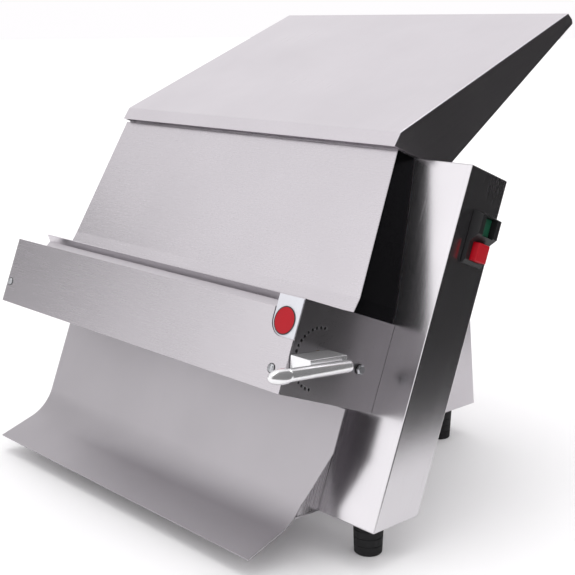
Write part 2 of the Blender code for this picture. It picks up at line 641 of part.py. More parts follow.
def infeed_slide():
    """Front sheet that leads the dough down, wider at its foot, with a cheek back to the housing."""
    back = BODY_FRONT - 2 * GAP
    top_right, foot_right = RIGHT_OUTER + SLIDE_TOP_OVER, RIGHT_OUTER + SLIDE_BOTTOM_OVER
    rows = [(BODY_TOP - GAP, top_right, SLIDE_TOP_N), (SLIDE_BEND_L, foot_right, SLIDE_BOTTOM_N),
            (SLIDE_END_L, foot_right, SLIDE_END_N)]
    bm = bmesh.new()
    lines = [[bm.verts.new((x, n, l)) for l, x, n in ((l, LEFT, n) for l, _, n in rows)],
             [bm.verts.new((x, n, l)) for l, x, n in rows],
             [bm.verts.new((x, back, l)) for l, x, _ in rows]]
    for a, b in zip(lines, lines[1:]):
        for i in range(len(rows) - 1):
            bm.faces.new((a[i], a[i + 1], b[i + 1], b[i]))
    sheet = add("infeed_slide", bm, STEEL, BODY)
    thicken(sheet, SHEET, -1.0, BEND)


def nip_guide():
    """Lower end of the slide, between the frame plates, down to the nip."""
    left, right = LEFT_INNER + GAP, RIGHT_INNER - GAP
    rows = [(left, right, n, ROLLER_RADIUS + l) for n, l in GUIDE_POINTS]
    thicken(add("nip_guide", strip(rows), STEEL, BODY), SHEET, 1.0)


def outfeed_tray():
    """Curved tray below the rollers; its right edge steps in under the drive end."""
    rows = []
    for n, l in tray_profile():
        share = min(1.0, max(0.0, (TRAY_EAR_BOTTOM - l) / (TRAY_EAR_BOTTOM - TRAY_TAPER_BOTTOM)))
        rows.append((LEFT, RIGHT_OUTER + TRAY_EAR_OVER + share * (TRAY_OVER - TRAY_EAR_OVER), n, l))
    thicken(add("outfeed_tray", strip(rows), STEEL, BODY), SHEET, 1.0)


def infeed_lip():
    """Creased rail on the operator's side of the infeed slot."""
    left, right = LEFT, RIGHT_OUTER - GAP
    rows = [(left, right, PIVOT_N + n, ROLLER_RADIUS + l) for n, l in LIP_POINTS]
    thicken(add("infeed_lip", strip(rows), POLISHED, BODY), SHEET, 1.0)


# ---- roller guard ------------------------------------------------------------------------------
def notch_arc(radius):
    """Quarter round under the red disc, from its lowest point to its left side."""
    steps = 8
    for i in range(steps + 1):
        turn = math.pi / 2 * i / steps
        yield DISC_X - radius * math.sin(turn), NOTCH_BOTTOM + NOTCH_RADIUS - radius * math.cos(turn)


def roller_guard():
    """Front panel, notched at its right end round the red disc."""
    outline = [(LEFT, GUARD_BOTTOM), (END_FACE, GUARD_BOTTOM), (END_FACE, NOTCH_BOTTOM),
               *notch_arc(NOTCH_RADIUS), (DISC_X - NOTCH_RADIUS, GUARD_TOP), (LEFT, GUARD_TOP)]
    panel = prism("roller_guard", outline, GUARD_FRONT, GUARD_FRONT + SHEET, STEEL, BODY, axis="Y")
    for side, x, l in GUARD_SCREWS:
        deep = SHEET + OVER
        profile = [(0, deep), (SCREW_BORE, deep), (SCREW_BORE, -deep), (0, -deep)]
        bore = turned("guard_hole_" + side, profile, None, BODY, (x, GUARD_FRONT, l),
                      along_x=False, steps=16, group=CUTTERS)
        bore.rotation_euler = (math.pi / 2, 0, 0)
        cut(panel, bore)


def guard_screws():
    """Pan-head screws that hold the guard's front panel."""
    for side, x, l in GUARD_SCREWS:
        profile = [(0, 0.6 * SCREW_RADIUS), (0.55 * SCREW_RADIUS, 0.53 * SCREW_RADIUS),
                   (0.9 * SCREW_RADIUS, 0.28 * SCREW_RADIUS), (SCREW_RADIUS, GAP), (SCREW_SHANK, GAP),
                   (SCREW_SHANK, -SCREW_REACH), (0, -SCREW_REACH)]
        screw = turned("guard_screw_" + side, profile, ZINC, BODY, (x, GUARD_FRONT, l),
                       along_x=False, steps=16)
        screw.rotation_euler = (math.pi / 2, 0, 0)


def drive_end_cover():
    """Box over the gears: front flange, end wall with the index holes, top and bottom."""
    left, right = RIGHT_OUTER, END_FACE
    front = GUARD_FRONT + SHEET + GAP
    shell = box("drive_end_cover", (left, front, GUARD_BOTTOM), (right, BODY_FRONT - GAP, END_COVER_TOP),
                POLISHED, BODY)
    open_side(shell, lambda face: face.normal.x < -0.9 or face.normal.y > 0.9)
    thicken(shell, END_WALL, -1.0)
    low, high = right - END_WALL - OVER, right + OVER
    for i in range(HOLE_COUNT):
        n, l = index_place(i)
        drill(shell, "index_hole_%d" % i, INDEX_HOLE, low, high, n, l, BODY, sides=8)
    drill(shell, "pivot_hole", JOURNAL_RADIUS + FIT + PIVOT_BUSH_WALL + GAP, low, high, PIVOT_N, 0, BODY)
    drill(shell, "shaft_end_hole", SHAFT_END_RADIUS + 2 * FIT, low, high, REAR_N, 0, BODY, 24)


def index_place(number):
    """Middle of an index hole; hole 0 is straight above the pivot, then they run round the front."""
    angle = number * HOLE_PITCH
    return PIVOT_N - INDEX_RING * math.sin(angle), INDEX_RING * math.cos(angle)


def guard_label():
    """Plain white label with a raised red disc."""
    front = GUARD_FRONT + SHEET + GAP
    radius = NOTCH_RADIUS - LABEL_MARGIN
    edge, top = END_FACE - LABEL_MARGIN, END_COVER_TOP - LABEL_MARGIN
    shape = [(edge, NOTCH_BOTTOM + NOTCH_RADIUS - radius), *notch_arc(radius), (DISC_X - radius, top),
             (edge, top)]
    prism("guard_label", shape, front - LABEL_THICKNESS - GAP, front - GAP, LABEL, BODY, axis="Y")
    outline = []
    for i in range(36):
        turn = 2 * math.pi * i / 36
        outline.append((DISC_X + DISC_RADIUS * math.cos(turn), DISC_L + DISC_RADIUS * math.sin(turn)))
    back = front - LABEL_THICKNESS - 2 * GAP
    prism("red_disc", outline, back - LABEL_THICKNESS, back, RED, BODY, axis="Y")


# ---- rollers and their drive -------------------------------------------------------------------
def rollers():
    """Two hollow rollers; the front one has a hub that carries its gear."""
    left, right = LEFT_INNER + ROLLER_END_PLAY, RIGHT_INNER - ROLLER_END_PLAY
    edge = ROLLER_RADIUS - ROLLER_CHAMFER
    skin = [(edge, right), (ROLLER_RADIUS, right - ROLLER_CHAMFER), (ROLLER_RADIUS, left + ROLLER_CHAMFER),
            (edge, left)]
    profile = [(ROLLER_BORE, GEAR_RIGHT), (HUB_RADIUS, GEAR_RIGHT), (HUB_RADIUS, right), *skin,
               (ROLLER_BORE, left)]
    turned("front_roller", profile, POLISHED, BODY, (0, ROLLER_N, ROLLER_L), closed=True, steps=48)
    bore = REAR_SHAFT_RADIUS + FIT
    turned("rear_roller", [(bore, right), *skin, (bore, left)], POLISHED, BODY, (0, REAR_N, 0),
           closed=True, steps=48)


def rear_shaft():
    """Driven shaft: journals in both plates, gear and sprocket, and its end through the end wall."""
    step = GEAR_RIGHT + GAP
    start, end = LEFT + GAP, END_FACE + SHAFT_END_PROUD
    neck = END_FACE - 2 * END_WALL
    profile = [(0, end), (SHAFT_END_RADIUS, end), (SHAFT_END_RADIUS, neck), (REAR_STEP_RADIUS, neck),
               (REAR_STEP_RADIUS, step), (REAR_SHAFT_RADIUS, step), (REAR_SHAFT_RADIUS, start), (0, start)]
    turned("rear_shaft", profile, ZINC, BODY, (0, REAR_N, 0))
    outline = [(REAR_N + NUT_RADIUS * math.cos(i * math.pi / 3), NUT_RADIUS * math.sin(i * math.pi / 3))
               for i in range(6)]
    low, high = END_FACE + 2 * GAP, END_FACE + 2 * GAP + NUT_THICKNESS
    nut = prism("shaft_nut", outline, low, high, ZINC, BODY, origin=(0, REAR_N, 0))
    drill(nut, "nut_bore", SHAFT_END_RADIUS + GAP, low - OVER, high + OVER, REAR_N, 0, BODY, 24)


def gear_outline(n, l, phase):
    """Long-toothed gear, so that the teeth stay in mesh while the gap is set."""
    pitch = 2 * math.pi / GEAR_TEETH
    points = []
    for i in range(GEAR_TEETH):
        middle = phase + i * pitch
        for radius, share in ((GEAR_ROOT, -GEAR_ROOT_SHARE), (GEAR_TIP, -GEAR_TIP_SHARE),
                              (GEAR_TIP, GEAR_TIP_SHARE), (GEAR_ROOT, GEAR_ROOT_SHARE)):
            angle = middle + share * pitch
            points.append((n + radius * math.cos(angle), l + radius * math.sin(angle)))
    return points


def gears():
    """Equal gears: a tooth of the front one points at a gap of the rear one."""
    left, right = GEAR_LEFT, GEAR_RIGHT
    front = prism("front_gear", gear_outline(ROLLER_N, ROLLER_L, 0.0), left, right, ZINC, BODY,
                  origin=(0, ROLLER_N, ROLLER_L))
    drill(front, "front_gear_bore", HUB_RADIUS + GAP, left - OVER, right + OVER, ROLLER_N, ROLLER_L, BODY)
    half_pitch = math.pi / GEAR_TEETH
    rear = prism("rear_gear", gear_outline(REAR_N, 0, math.pi + half_pitch), left, right, ZINC, BODY,
                 origin=(0, REAR_N, 0))
    drill(rear, "rear_gear_bore", REAR_SHAFT_RADIUS + GAP, left - OVER, right + OVER, REAR_N, 0, BODY)


def sprocket(name, tip, teeth, bore, n, l):
    """Thin toothed wheel on a shaft."""
    points = []
    for i in range(teeth):
        for share, radius in ((0.0, tip), (0.14, tip - 0.3 * SPROCKET_TOOTH), (0.36, tip - SPROCKET_TOOTH),
                              (0.64, tip - SPROCKET_TOOTH), (0.86, tip - 0.3 * SPROCKET_TOOTH)):
            angle = 2 * math.pi * (i + share) / teeth
            points.append((n + radius * math.cos(angle), l + radius * math.sin(angle)))
    wheel = prism(name, points, SPROCKET_LEFT, SPROCKET_RIGHT, ZINC, BODY, origin=(0, n, l))
    drill(wheel, name + "_bore", bore + GAP, SPROCKET_LEFT - OVER, SPROCKET_RIGHT + OVER, n, l, BODY)


def loop_outline(first, first_radius, second, second_radius):
    """Outline round two circles, joined by their outer tangents."""
    first, second = Vector(first), Vector(second)
    along = second - first
    heading = math.atan2(along.y, along.x)
    tilt = math.acos((first_radius - second_radius) / along.length)
    points = []
    steps = 20
    for i in range(steps + 1):
        turn = heading + tilt + (2 * math.pi - 2 * tilt) * i / steps
        points.append((first.x + first_radius * math.cos(turn), first.y + first_radius * math.sin(turn)))
    for i in range(steps + 1):
        turn = heading - tilt + 2 * tilt * i / steps
        points.append((second.x + second_radius * math.cos(turn), second.y + second_radius * math.sin(turn)))
    return points


def drive_chain():
    """Chain round both sprockets, as one closed band."""
    middle = (SPROCKET_LEFT + SPROCKET_RIGHT) / 2
    left, right = middle - CHAIN_WIDTH / 2, middle + CHAIN_WIDTH / 2
    ends = (REAR_N, 0), (DRIVE_N, DRIVE_L)
    inner = (ROLLER_SPROCKET + CHAIN_CLEARANCE, DRIVE_SPROCKET + CHAIN_CLEARANCE)
    outer = tuple(radius + CHAIN_DEPTH for radius in inner)
    band = prism("drive_chain", loop_outline(ends[0], outer[0], ends[1], outer[1]), left, right, ZINC, BODY)
    hollow = prism("chain_hollow", loop_outline(ends[0], inner[0], ends[1], inner[1]), left - OVER,
                   right + OVER, None, BODY, group=CUTTERS)
    cut(band, hollow)


def gearbox():
    """Worm gearbox on a bracket, with its output shaft into the drive housing."""
    y, z = level(DRIVE_N, DRIVE_L)
    z += NIP_HEIGHT
    x = RIGHT_OUTER - GEARBOX_IN
    width, depth, height = GEARBOX
    left, right = x - width / 2, x + width / 2
    front, back = y - GEARBOX_FRONT, y - GEARBOX_FRONT + depth
    case = box("gearbox_case", (left, front, z - height / 2), (right, back, z + height / 2),
               GREY_PAINT, GROUND)
    soften(case, 0.08 * width)
    cut(case, rod("gearbox_bore", DRIVE_SHAFT_RADIUS + FIT, x, x + width, y, z, None, GROUND, CUTTERS, 24))
    plate, top = BRACKET_PLATE, z - height / 2 - GAP
    outline = [(left, FLOOR), (right, FLOOR), (right, top), (left, top), (left, top - plate),
               (right - plate, top - plate), (right - plate, FLOOR + plate), (left, FLOOR + plate)]
    prism("gearbox_bracket", outline, front, back, ZINC, GROUND, axis="Y")
    rod("drive_shaft", DRIVE_SHAFT_RADIUS, x + BRACKET_PLATE, SPROCKET_RIGHT + BRACKET_PLATE,
        DRIVE_N, DRIVE_L, ZINC, BODY, sides=32)
    motor(x, back + GAP, z)


def motor(x, start, z):
    """Ribbed motor that lies level behind the gearbox, with its fan cap."""
    end = start + MOTOR_LENGTH
    cap_start = end - FAN_CAP_LENGTH
    neck, shoulder = 0.55 * MOTOR_RADIUS, start + 0.3 * MOTOR_RADIUS
    profile = [(0, cap_start), (MOTOR_RADIUS, cap_start)]
    for i in reversed(range(MOTOR_RIBS)):
        at = shoulder + RIB_PITCH / 2 + i * RIB_PITCH
        profile += [(MOTOR_RADIUS, at + RIB_PITCH / 2), (MOTOR_RADIUS - RIB_HEIGHT, at + RIB_PITCH / 3),
                    (MOTOR_RADIUS, at)]
    profile += [(MOTOR_RADIUS, shoulder), (neck, start + 0.2 * MOTOR_RADIUS), (neck, start), (0, start)]
    case = turned("motor_case", profile, GREY_PAINT, GROUND, (x, 0, z), along_x=False, steps=24)
    case.rotation_euler = (-math.pi / 2, 0, 0)
    low, edge = cap_start + GAP, 0.12 * MOTOR_RADIUS
    profile = [(0, end), (MOTOR_RADIUS - edge, end), (MOTOR_RADIUS, end - edge), (MOTOR_RADIUS, low),
               (0, low)]
    cap = turned("motor_fan_cap", profile, BLACK_PLASTIC, GROUND, (x, 0, z), along_x=False, steps=24)
    cap.rotation_euler = (-math.pi / 2, 0, 0)


def electrics():
    """Run capacitor and terminal box beside the motor, and the gland where the mains lead leaves."""
    width, depth, height = TERMINAL_BOX
    x = LEFT + COVER_LEFT + width
    y = COVER_BACK - depth
    edge = 0.1 * CAPACITOR_RADIUS
    profile = [(0, CAPACITOR_HEIGHT), (CAPACITOR_RADIUS - edge, CAPACITOR_HEIGHT),
               (CAPACITOR_RADIUS, CAPACITOR_HEIGHT - edge), (CAPACITOR_RADIUS, 0), (0, 0)]
    turned("run_capacitor", profile, BLACK_PLASTIC, GROUND, (x, y, FLOOR), along_x=False, steps=24)
    y -= CAPACITOR_RADIUS + depth
    terminal = box("terminal_box", (x - width / 2, y - depth / 2, FLOOR), (x + width / 2, y + depth / 2,
                   FLOOR + height), BLACK_PLASTIC, GROUND)
    soften(terminal, 0.05 * width)
    r = GLAND_RADIUS
    profile = [(0, 2.3 * r), (0.75 * r, 2.3 * r), (1.25 * r, 1.8 * r), (1.6 * r, 1.5 * r),
               (1.6 * r, 0.35 * r), (1.85 * r, 0.35 * r), (1.85 * r, GAP), (r, GAP), (r, -r), (0, -r)]
    item = turned("cable_gland", profile, BLACK_PLASTIC, GROUND, gland_place(), along_x=False, steps=24)
    item.rotation_euler = (-math.pi / 2 + COVER_LEAN, 0, 0)


def gland_place():
    """Where the cable gland sits on the cover's leaning back."""
    y = COVER_BACK - GLAND_UP * math.tan(COVER_LEAN)
    return LEFT + COVER_LEFT + GLAND_IN, y, FOOT_HEIGHT + GLAND_UP


# ---- gap setting -------------------------------------------------------------------------------
def eccentric_shaft():
    """Shaft that carries the front roller off the lever's axis, with a journal at each end."""
    left, right = LEFT_INNER + GAP, END_FACE - 2 * END_WALL
    shaft = rod("eccentric_shaft", JOURNAL_RADIUS, LEFT, END_FACE + JOURNAL_PROUD, PIVOT_N, 0, ZINC, BODY)
    join(shaft, rod("eccentric_body", SHAFT_RADIUS, left, right, ROLLER_N, ROLLER_L, None, BODY,
                    CUTTERS, 32))
    bore = JOURNAL_RADIUS + FIT
    ring("pivot_bush_right", bore + PIVOT_BUSH_WALL, bore, END_FACE - END_WALL, END_FACE, PIVOT_N, 0,
         BRONZE, BODY)


def floating_bushes():
    """Bushes between the eccentric shaft and the bore of the front roller."""
    inner, outer = SHAFT_RADIUS + FIT, ROLLER_BORE - FIT
    left = LEFT_INNER + ROLLER_END_PLAY + FLOAT_BUSH_IN
    right = GEAR_RIGHT - FLOAT_BUSH_IN
    for name, start in (("roller_bush_left", left), ("roller_bush_right", right - FLOAT_BUSH_LENGTH)):
        ring(name, outer, inner, start, start + FLOAT_BUSH_LENGTH, ROLLER_N, ROLLER_L, BRONZE, BODY,
             steps=32)


def lever_frame():
    """Empty on the pivot, its y axis pointing along the lever at rest."""
    item = empty("lever_frame", (0, PIVOT_N, 0), REST_ANGLE + math.pi / 2)
    item.parent = BODY
    return item


def lever():
    """Lever block on the eccentric shaft, with a round grip on its outer face."""
    frame = lever_frame()
    near = END_FACE + LEVER_SPACE
    far = near + LEVER_DEPTH
    half = LEVER_THICKNESS / 2
    block = box("lever_block", (near, -LEVER_BEHIND, -half), (far, LEVER_AHEAD, half), POLISHED, frame,
                origin=(near, 0, 0))
    soften(block, 0.05 * LEVER_THICKNESS)
    drill(block, "block_bore", JOURNAL_RADIUS + GAP, near - OVER, END_FACE + JOURNAL_PROUD + GAP,
          0, 0, frame)
    drill(block, "pin_bore", PIN_RADIUS + FIT, near - OVER, near + PIN_BORE_DEPTH,
          INDEX_RING, 0, frame, 24)
    across = far + GRIP_RADIUS + GAP
    start, end = -GRIP_BEHIND, GRIP_AHEAD
    knob = end - KNOB_LENGTH
    neck = GRIP_RADIUS - 0.0008
    profile = [(0, end), (0.3 * KNOB_RADIUS, end - 0.0006), (0.6 * KNOB_RADIUS, end - 0.0035),
               (0.86 * KNOB_RADIUS, end - 0.0090), (KNOB_RADIUS, end - 0.0150), (KNOB_RADIUS, knob + 0.0020),
               (0.89 * KNOB_RADIUS, knob + 0.0006), (neck, knob), (neck, knob - 0.0010),
               (GRIP_RADIUS, knob - 0.0016), (GRIP_RADIUS, start + 0.0010), (neck, start), (0, start)]
    grip = turned("lever_grip", profile, POLISHED, frame, (across, 0, 0), along_x=False, steps=32)
    grip.rotation_euler = (-math.pi / 2, 0, 0)
    return frame


def index_pin(frame):
    """Spring plunger of the lever, lifted just clear of the index hole it stands over."""
    nose = INDEX_HOLE - 2 * FIT
    start = END_FACE + GAP
    profile = [(0, PIN_LENGTH), (PIN_STEM, PIN_LENGTH), (PIN_STEM, PIN_SHOULDER), (PIN_RADIUS, PIN_SHOULDER),
               (PIN_RADIUS, 0.0030), (nose, 0.0026), (nose, 0.0004), (nose - 0.0004, 0), (0, 0)]
    turned("index_pin", [(r, start + h) for r, h in profile], ZINC, frame, (0, INDEX_RING, 0), steps=20)
    index_spring(frame, start + PIN_SHOULDER + GAP + SPRING_WIRE)


def index_spring(frame, first):
    """Coil spring round the pin's stem, inside the lever block."""
    curve = bpy.data.curves.new("index_spring", "CURVE")
    curve.dimensions = "3D"
    curve.bevel_depth = SPRING_WIRE
    curve.bevel_resolution = 1
    curve.render_resolution_u = 0
    curve.use_fill_caps = True
    per_turn = 9
    count = SPRING_TURNS * per_turn
    line = curve.splines.new("POLY")
    line.points.add(count)
    for i in range(count + 1):
        angle = 2 * math.pi * i / per_turn
        line.points[i].co = (first + SPRING_LENGTH * i / count, SPRING_RADIUS * math.cos(angle),
                             SPRING_RADIUS * math.sin(angle), 1)
    curve.materials.append(ZINC)
    spring = bpy.data.objects.new("index_spring", curve)
    spring.parent = frame
    spring.location = (0, INDEX_RING, 0)
    PARTS.objects.link(spring)


# ---- scrapers ----------------------------------------------------------------------------------
def scrapers():
    """Blades that clean the undersides of the rollers."""
    left, right = LEFT_INNER + GAP, RIGHT_INNER - GAP
    drop = math.sqrt(1 - SCRAPER_SHARE ** 2)
    reach = ROLLER_RADIUS + SCRAPER_SPACE
    tip_n, tip_l = REAR_N + SCRAPER_SHARE * reach, -drop * reach
    front, back = REAR_N + 0.75 * ROLLER_RADIUS, REAR_N + ROLLER_RADIUS
    top, bottom = -ROLLER_RADIUS - 0.0100, -ROLLER_RADIUS - 0.0180
    outline = [(tip_n, tip_l), (back, top), (back, bottom), (front, bottom), (front, top - 0.0005),
               (tip_n - 0.0008, tip_l - 0.0010)]
    prism("rear_scraper", outline, left, right, ZINC, BODY)
    reach = ROLLER_RADIUS + ECCENTRIC + SCRAPER_SPACE
    tip_n, tip_l = PIVOT_N - SCRAPER_SHARE * reach, -drop * reach
    near = GUARD_FRONT + SHEET + 2 * GAP
    top, bottom = ARM_BOTTOM + 0.0065, ARM_BOTTOM
    outline = [(tip_n, tip_l), (near + 0.0080, top), (near, top), (near, bottom), (near + 0.0080, bottom),
               (tip_n - 0.0004, tip_l - 0.0012)]
    prism("front_scraper", outline, left, right, ZINC, BODY)


# ---- switch ------------------------------------------------------------------------------------
def switch():
    """Start and stop switch: hooded upper button, proud lower button."""
    face, half_l, half_n = HOUSING_RIGHT, SWITCH_HEIGHT / 2, SWITCH_WIDTH / 2
    low, high = SWITCH_L - half_l, SWITCH_L + half_l
    outline = [(face + GAP, low), (face + SWITCH_FLANGE, low), (face + SWITCH_LOW_FACE, low + 0.004),
               (face + SWITCH_LOW_FACE, SWITCH_L - 0.004), (face + SWITCH_PROUD, SWITCH_L + 0.004),
               (face + SWITCH_PROUD, high - 0.003), (face + SWITCH_FLANGE, high), (face + GAP, high)]
    body = prism("switch_body", outline, SWITCH_N - half_n, SWITCH_N + half_n, BLACK_PLASTIC, BODY, axis="Y")
    rim = SWITCH_RIM + 2 * GAP
    join(body, box("switch_rear", (face - SWITCH_DEPTH, SWITCH_N - half_n + rim, low + rim),
                   (face + SWITCH_FLANGE, SWITCH_N + half_n - rim, high - rim), None, BODY, CUTTERS))
    for name, finish, offset, out in (("start_button", GREEN, BUTTON_OFFSET, 0.0070),
                                      ("stop_button", RED, -BUTTON_OFFSET, 0.0125)):
        push_button(body, name, finish, SWITCH_L + offset, face + out)


def push_button(body, name, finish, middle, out):
    """Square button in its own pocket, free to be pressed."""
    half_n, half_l = BUTTON_WIDTH / 2, BUTTON_HEIGHT / 2
    low = Vector((HOUSING_RIGHT - 0.0080, SWITCH_N - half_n, middle - half_l))
    high = Vector((out, SWITCH_N + half_n, middle + half_l))
    room = Vector((0, BUTTON_SPACE, BUTTON_SPACE))
    cut(body, box(name + "_pocket", low - room - Vector((BUTTON_TRAVEL, 0, 0)),
                  high + room + Vector((SWITCH_PROUD, 0, 0)), None, BODY, CUTTERS))
    soften(box(name, low, high, finish, BODY), 0.05 * BUTTON_WIDTH)


# ---- feet --------------------------------------------------------------------------------------
def feet():
    """Tapered rubber feet under the corners."""
    top = FOOT_HEIGHT - GAP
    edge = 0.001
    profile = [(0, top), (FOOT_TOP_RADIUS - edge, top), (FOOT_TOP_RADIUS, top - edge),
               (FOOT_BOTTOM_RADIUS, edge), (FOOT_BOTTOM_RADIUS - edge, 0), (0, 0)]
    for name, x, y in (("foot_front_left", LEFT + FRONT_FOOT_IN, FRONT_FOOT_Y),
                       ("foot_front_right", HOUSING_RIGHT - FRONT_FOOT_RIGHT_IN, FRONT_FOOT_Y),
                       ("foot_rear_left", LEFT + COVER_LEFT + REAR_FOOT_IN, REAR_FOOT_Y),
                       ("foot_rear_right", LEFT + COVER_RIGHT - REAR_FOOT_IN, REAR_FOOT_Y)):
        turned(name, profile, RUBBER, GROUND, (x, y, 0), along_x=False, steps=32)


frame_plates()
plate_bushes()
tie_bars()
base_plate()
back_panel()
top_plate()
side_housing()
motor_cover()
dough_shelf()
infeed_slide()
nip_guide()
outfeed_tray()
infeed_lip()
roller_guard()
guard_screws()
drive_end_cover()
guard_label()
rollers()
rear_shaft()
gears()
sprocket("roller_sprocket", ROLLER_SPROCKET, ROLLER_SPROCKET_TEETH, REAR_STEP_RADIUS, REAR_N, 0)
sprocket("drive_sprocket", DRIVE_SPROCKET, DRIVE_SPROCKET_TEETH, DRIVE_SHAFT_RADIUS, DRIVE_N, DRIVE_L)
drive_chain()
gearbox()
electrics()
eccentric_shaft()
floating_bushes()
index_pin(lever())
scrapers()
switch()
feet()
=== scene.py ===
"""Looks of the countertop dough sheeter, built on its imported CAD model.

Sheets, gears and casings keep their CAD shape and get brushed, polished or painted finishes.
Some pieces are replaced by finer ones: rollers, feet, tray, lever grip, screws, red disc,
shaft nut, buttons, chain and motor. Metres, +Z up, in the frame of the CAD model.
"""
import math

import bpy
from mathutils import Matrix, Vector


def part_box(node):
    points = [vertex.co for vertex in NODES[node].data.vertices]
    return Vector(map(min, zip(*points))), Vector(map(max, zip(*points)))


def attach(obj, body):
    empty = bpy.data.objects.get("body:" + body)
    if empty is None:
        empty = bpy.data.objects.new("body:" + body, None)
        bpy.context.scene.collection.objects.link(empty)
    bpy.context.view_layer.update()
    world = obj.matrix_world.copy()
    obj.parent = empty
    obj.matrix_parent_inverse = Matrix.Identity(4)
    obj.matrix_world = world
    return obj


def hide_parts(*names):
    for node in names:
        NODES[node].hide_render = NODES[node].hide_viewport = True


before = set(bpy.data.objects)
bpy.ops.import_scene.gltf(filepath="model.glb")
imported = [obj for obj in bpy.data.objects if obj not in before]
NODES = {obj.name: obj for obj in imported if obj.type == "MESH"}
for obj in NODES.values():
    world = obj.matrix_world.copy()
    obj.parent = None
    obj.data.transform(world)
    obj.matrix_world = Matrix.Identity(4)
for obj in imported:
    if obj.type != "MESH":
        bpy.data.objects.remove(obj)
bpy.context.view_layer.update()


# ---- places ---------------------------------------------------------------------------------
def centre(node):
    """Middle of a CAD node's box."""
    low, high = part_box(node)
    return (low + high) / 2


LEAN = math.radians(21.0)                      # how far the body leans back
X = Vector((1, 0, 0))
UPWARD = (0, 0, 1)
SHEET = 0.0012                                 # casing sheet thickness
BACK = Vector((0, math.cos(LEAN), -math.sin(LEAN)))    # into the machine, square to the lean
UP = Vector((0, math.sin(LEAN), math.cos(LEAN)))       # up along the lean
PIVOT = centre("pivot_bush_left")
REAR_AXIS = centre("rear_bush_left")
NIP = (PIVOT + REAR_AXIS) / 2
LEVER_ANGLE = 10 * math.pi / 17                # tenth of the eighteen index holes
LEVER = UP * math.cos(LEVER_ANGLE) - BACK * math.sin(LEVER_ANGLE)


def lean(x, n, l):
    """World point from x, depth behind the nip and height above it, in the leaning frame."""
    return Vector((x, NIP.y, NIP.z)) + BACK * n + UP * l


# ---- finishes -------------------------------------------------------------------------------
STAINLESS = (0.610, 0.585, 0.612)
BRIGHT = (0.730, 0.712, 0.735)
LEVER_BRIGHT = (0.860, 0.860, 0.870)
# Painted shade: near-black colour for the slide's right-facing cheek, standing for shadow and dark reflection
# beside the housing
CHEEK_PAINTED_SHADE = (0.016, 0.016, 0.018)
WORN = 0.97                                    # brightness of worn patches
SHELF_TILT = math.radians(22.6)
SIDEWAYS = (0.090, 0.0009, 0.0009)             # grain lengths along X and across
FINE = (0.030, 0.0004, 0.0004)
POLISHING = (0.030, 0.0006, 0.0006)
UPRIGHT = (0.0010, 0.0010, 0.100)
DOWNHILL = (0.0010, 0.090, 0.0010)


def noise(mat, size, tilt=0.0, detail=3.0):
    """Noise whose features have the given size in metres, along axes tilted about X."""
    tree = mat.node_tree
    coords = tree.nodes.new("ShaderNodeTexCoord")
    mapping = tree.nodes.new("ShaderNodeMapping")
    mapping.vector_type = "TEXTURE"
    mapping.inputs["Rotation"].default_value = (-tilt, 0, 0)
    mapping.inputs["Scale"].default_value = size
    texture = tree.nodes.new("ShaderNodeTexNoise")
    texture.inputs["Scale"].default_value = 1.0
    texture.inputs["Detail"].default_value = detail
    tree.links.new(coords.outputs["Object"], mapping.inputs["Vector"])
    tree.links.new(mapping.outputs["Vector"], texture.inputs["Vector"])
    return texture.outputs["Fac"]


def ranged(mat, value, low, high):
    """A value's span from 0.3 to 0.7, where noise mostly lies, stretched from low to high."""
    node = mat.node_tree.nodes.new("ShaderNodeMapRange")
    node.inputs["From Min"].default_value = 0.3
    node.inputs["From Max"].default_value = 0.7
    node.inputs["To Min"].default_value = low
    node.inputs["To Max"].default_value = high
    mat.node_tree.links.new(value, node.inputs["Value"])
    return node.outputs["Result"]


def mixed(mat, value, first, second):
    """Colour between two colours by a value from 0 to 1."""
    node = mat.node_tree.nodes.new("ShaderNodeMix")
    node.data_type = "RGBA"
    mat.node_tree.links.new(value, node.inputs[0])
    for socket, colour in ((node.inputs[6], first), (node.inputs[7], second)):
        if isinstance(colour, tuple):
            socket.default_value = (*colour, 1.0)
        else:
            mat.node_tree.links.new(colour, socket)
    return node.outputs[2]


def scaled(colour, share):
    """Colour made brighter or darker."""
    return tuple(min(1.0, c * share) for c in colour)


def finish(name, colour, rough, metallic, grain, tilt=0.0, contrast=0.06, spread=0.06, relief=0.00002,
           cloud=0.10, edge=0.0004):
    """Surface with fine grain, cloudy wear, small relief and softened edges."""
    mat = bpy.data.materials.new(name)
    mat.use_nodes = True
    tree = mat.node_tree
    shader = tree.nodes["Principled BSDF"]
    shader.inputs["Metallic"].default_value = metallic
    streaks = noise(mat, grain, tilt, 4.0)
    clouds = noise(mat, (cloud, cloud, cloud), tilt, 3.0)
    fine = mixed(mat, ranged(mat, streaks, 0, 1), scaled(colour, 1 - contrast), scaled(colour, 1 + contrast))
    worn = mixed(mat, ranged(mat, streaks, 0, 1), scaled(colour, WORN - contrast), scaled(colour, WORN))
    tree.links.new(mixed(mat, ranged(mat, clouds, 0, 1), fine, worn), shader.inputs["Base Color"])
    grainy = ranged(mat, streaks, rough - spread, rough + spread)
    smeared = tree.nodes.new("ShaderNodeMath")
    smeared.operation = "ADD"
    tree.links.new(grainy, smeared.inputs[0])
    tree.links.new(ranged(mat, clouds, -spread / 2, spread / 2), smeared.inputs[1])
    tree.links.new(smeared.outputs[0], shader.inputs["Roughness"])
    bump = tree.nodes.new("ShaderNodeBump")
    bump.inputs["Strength"].default_value = 0.5
    bump.inputs["Distance"].default_value = relief
    tree.links.new(streaks, bump.inputs["Height"])
    if edge:
        soft = tree.nodes.new("ShaderNodeBevel")
        soft.samples = 4
        soft.inputs["Radius"].default_value = edge
        tree.links.new(soft.outputs["Normal"], bump.inputs["Normal"])
    tree.links.new(bump.outputs["Normal"], shader.inputs["Normal"])
    return mat


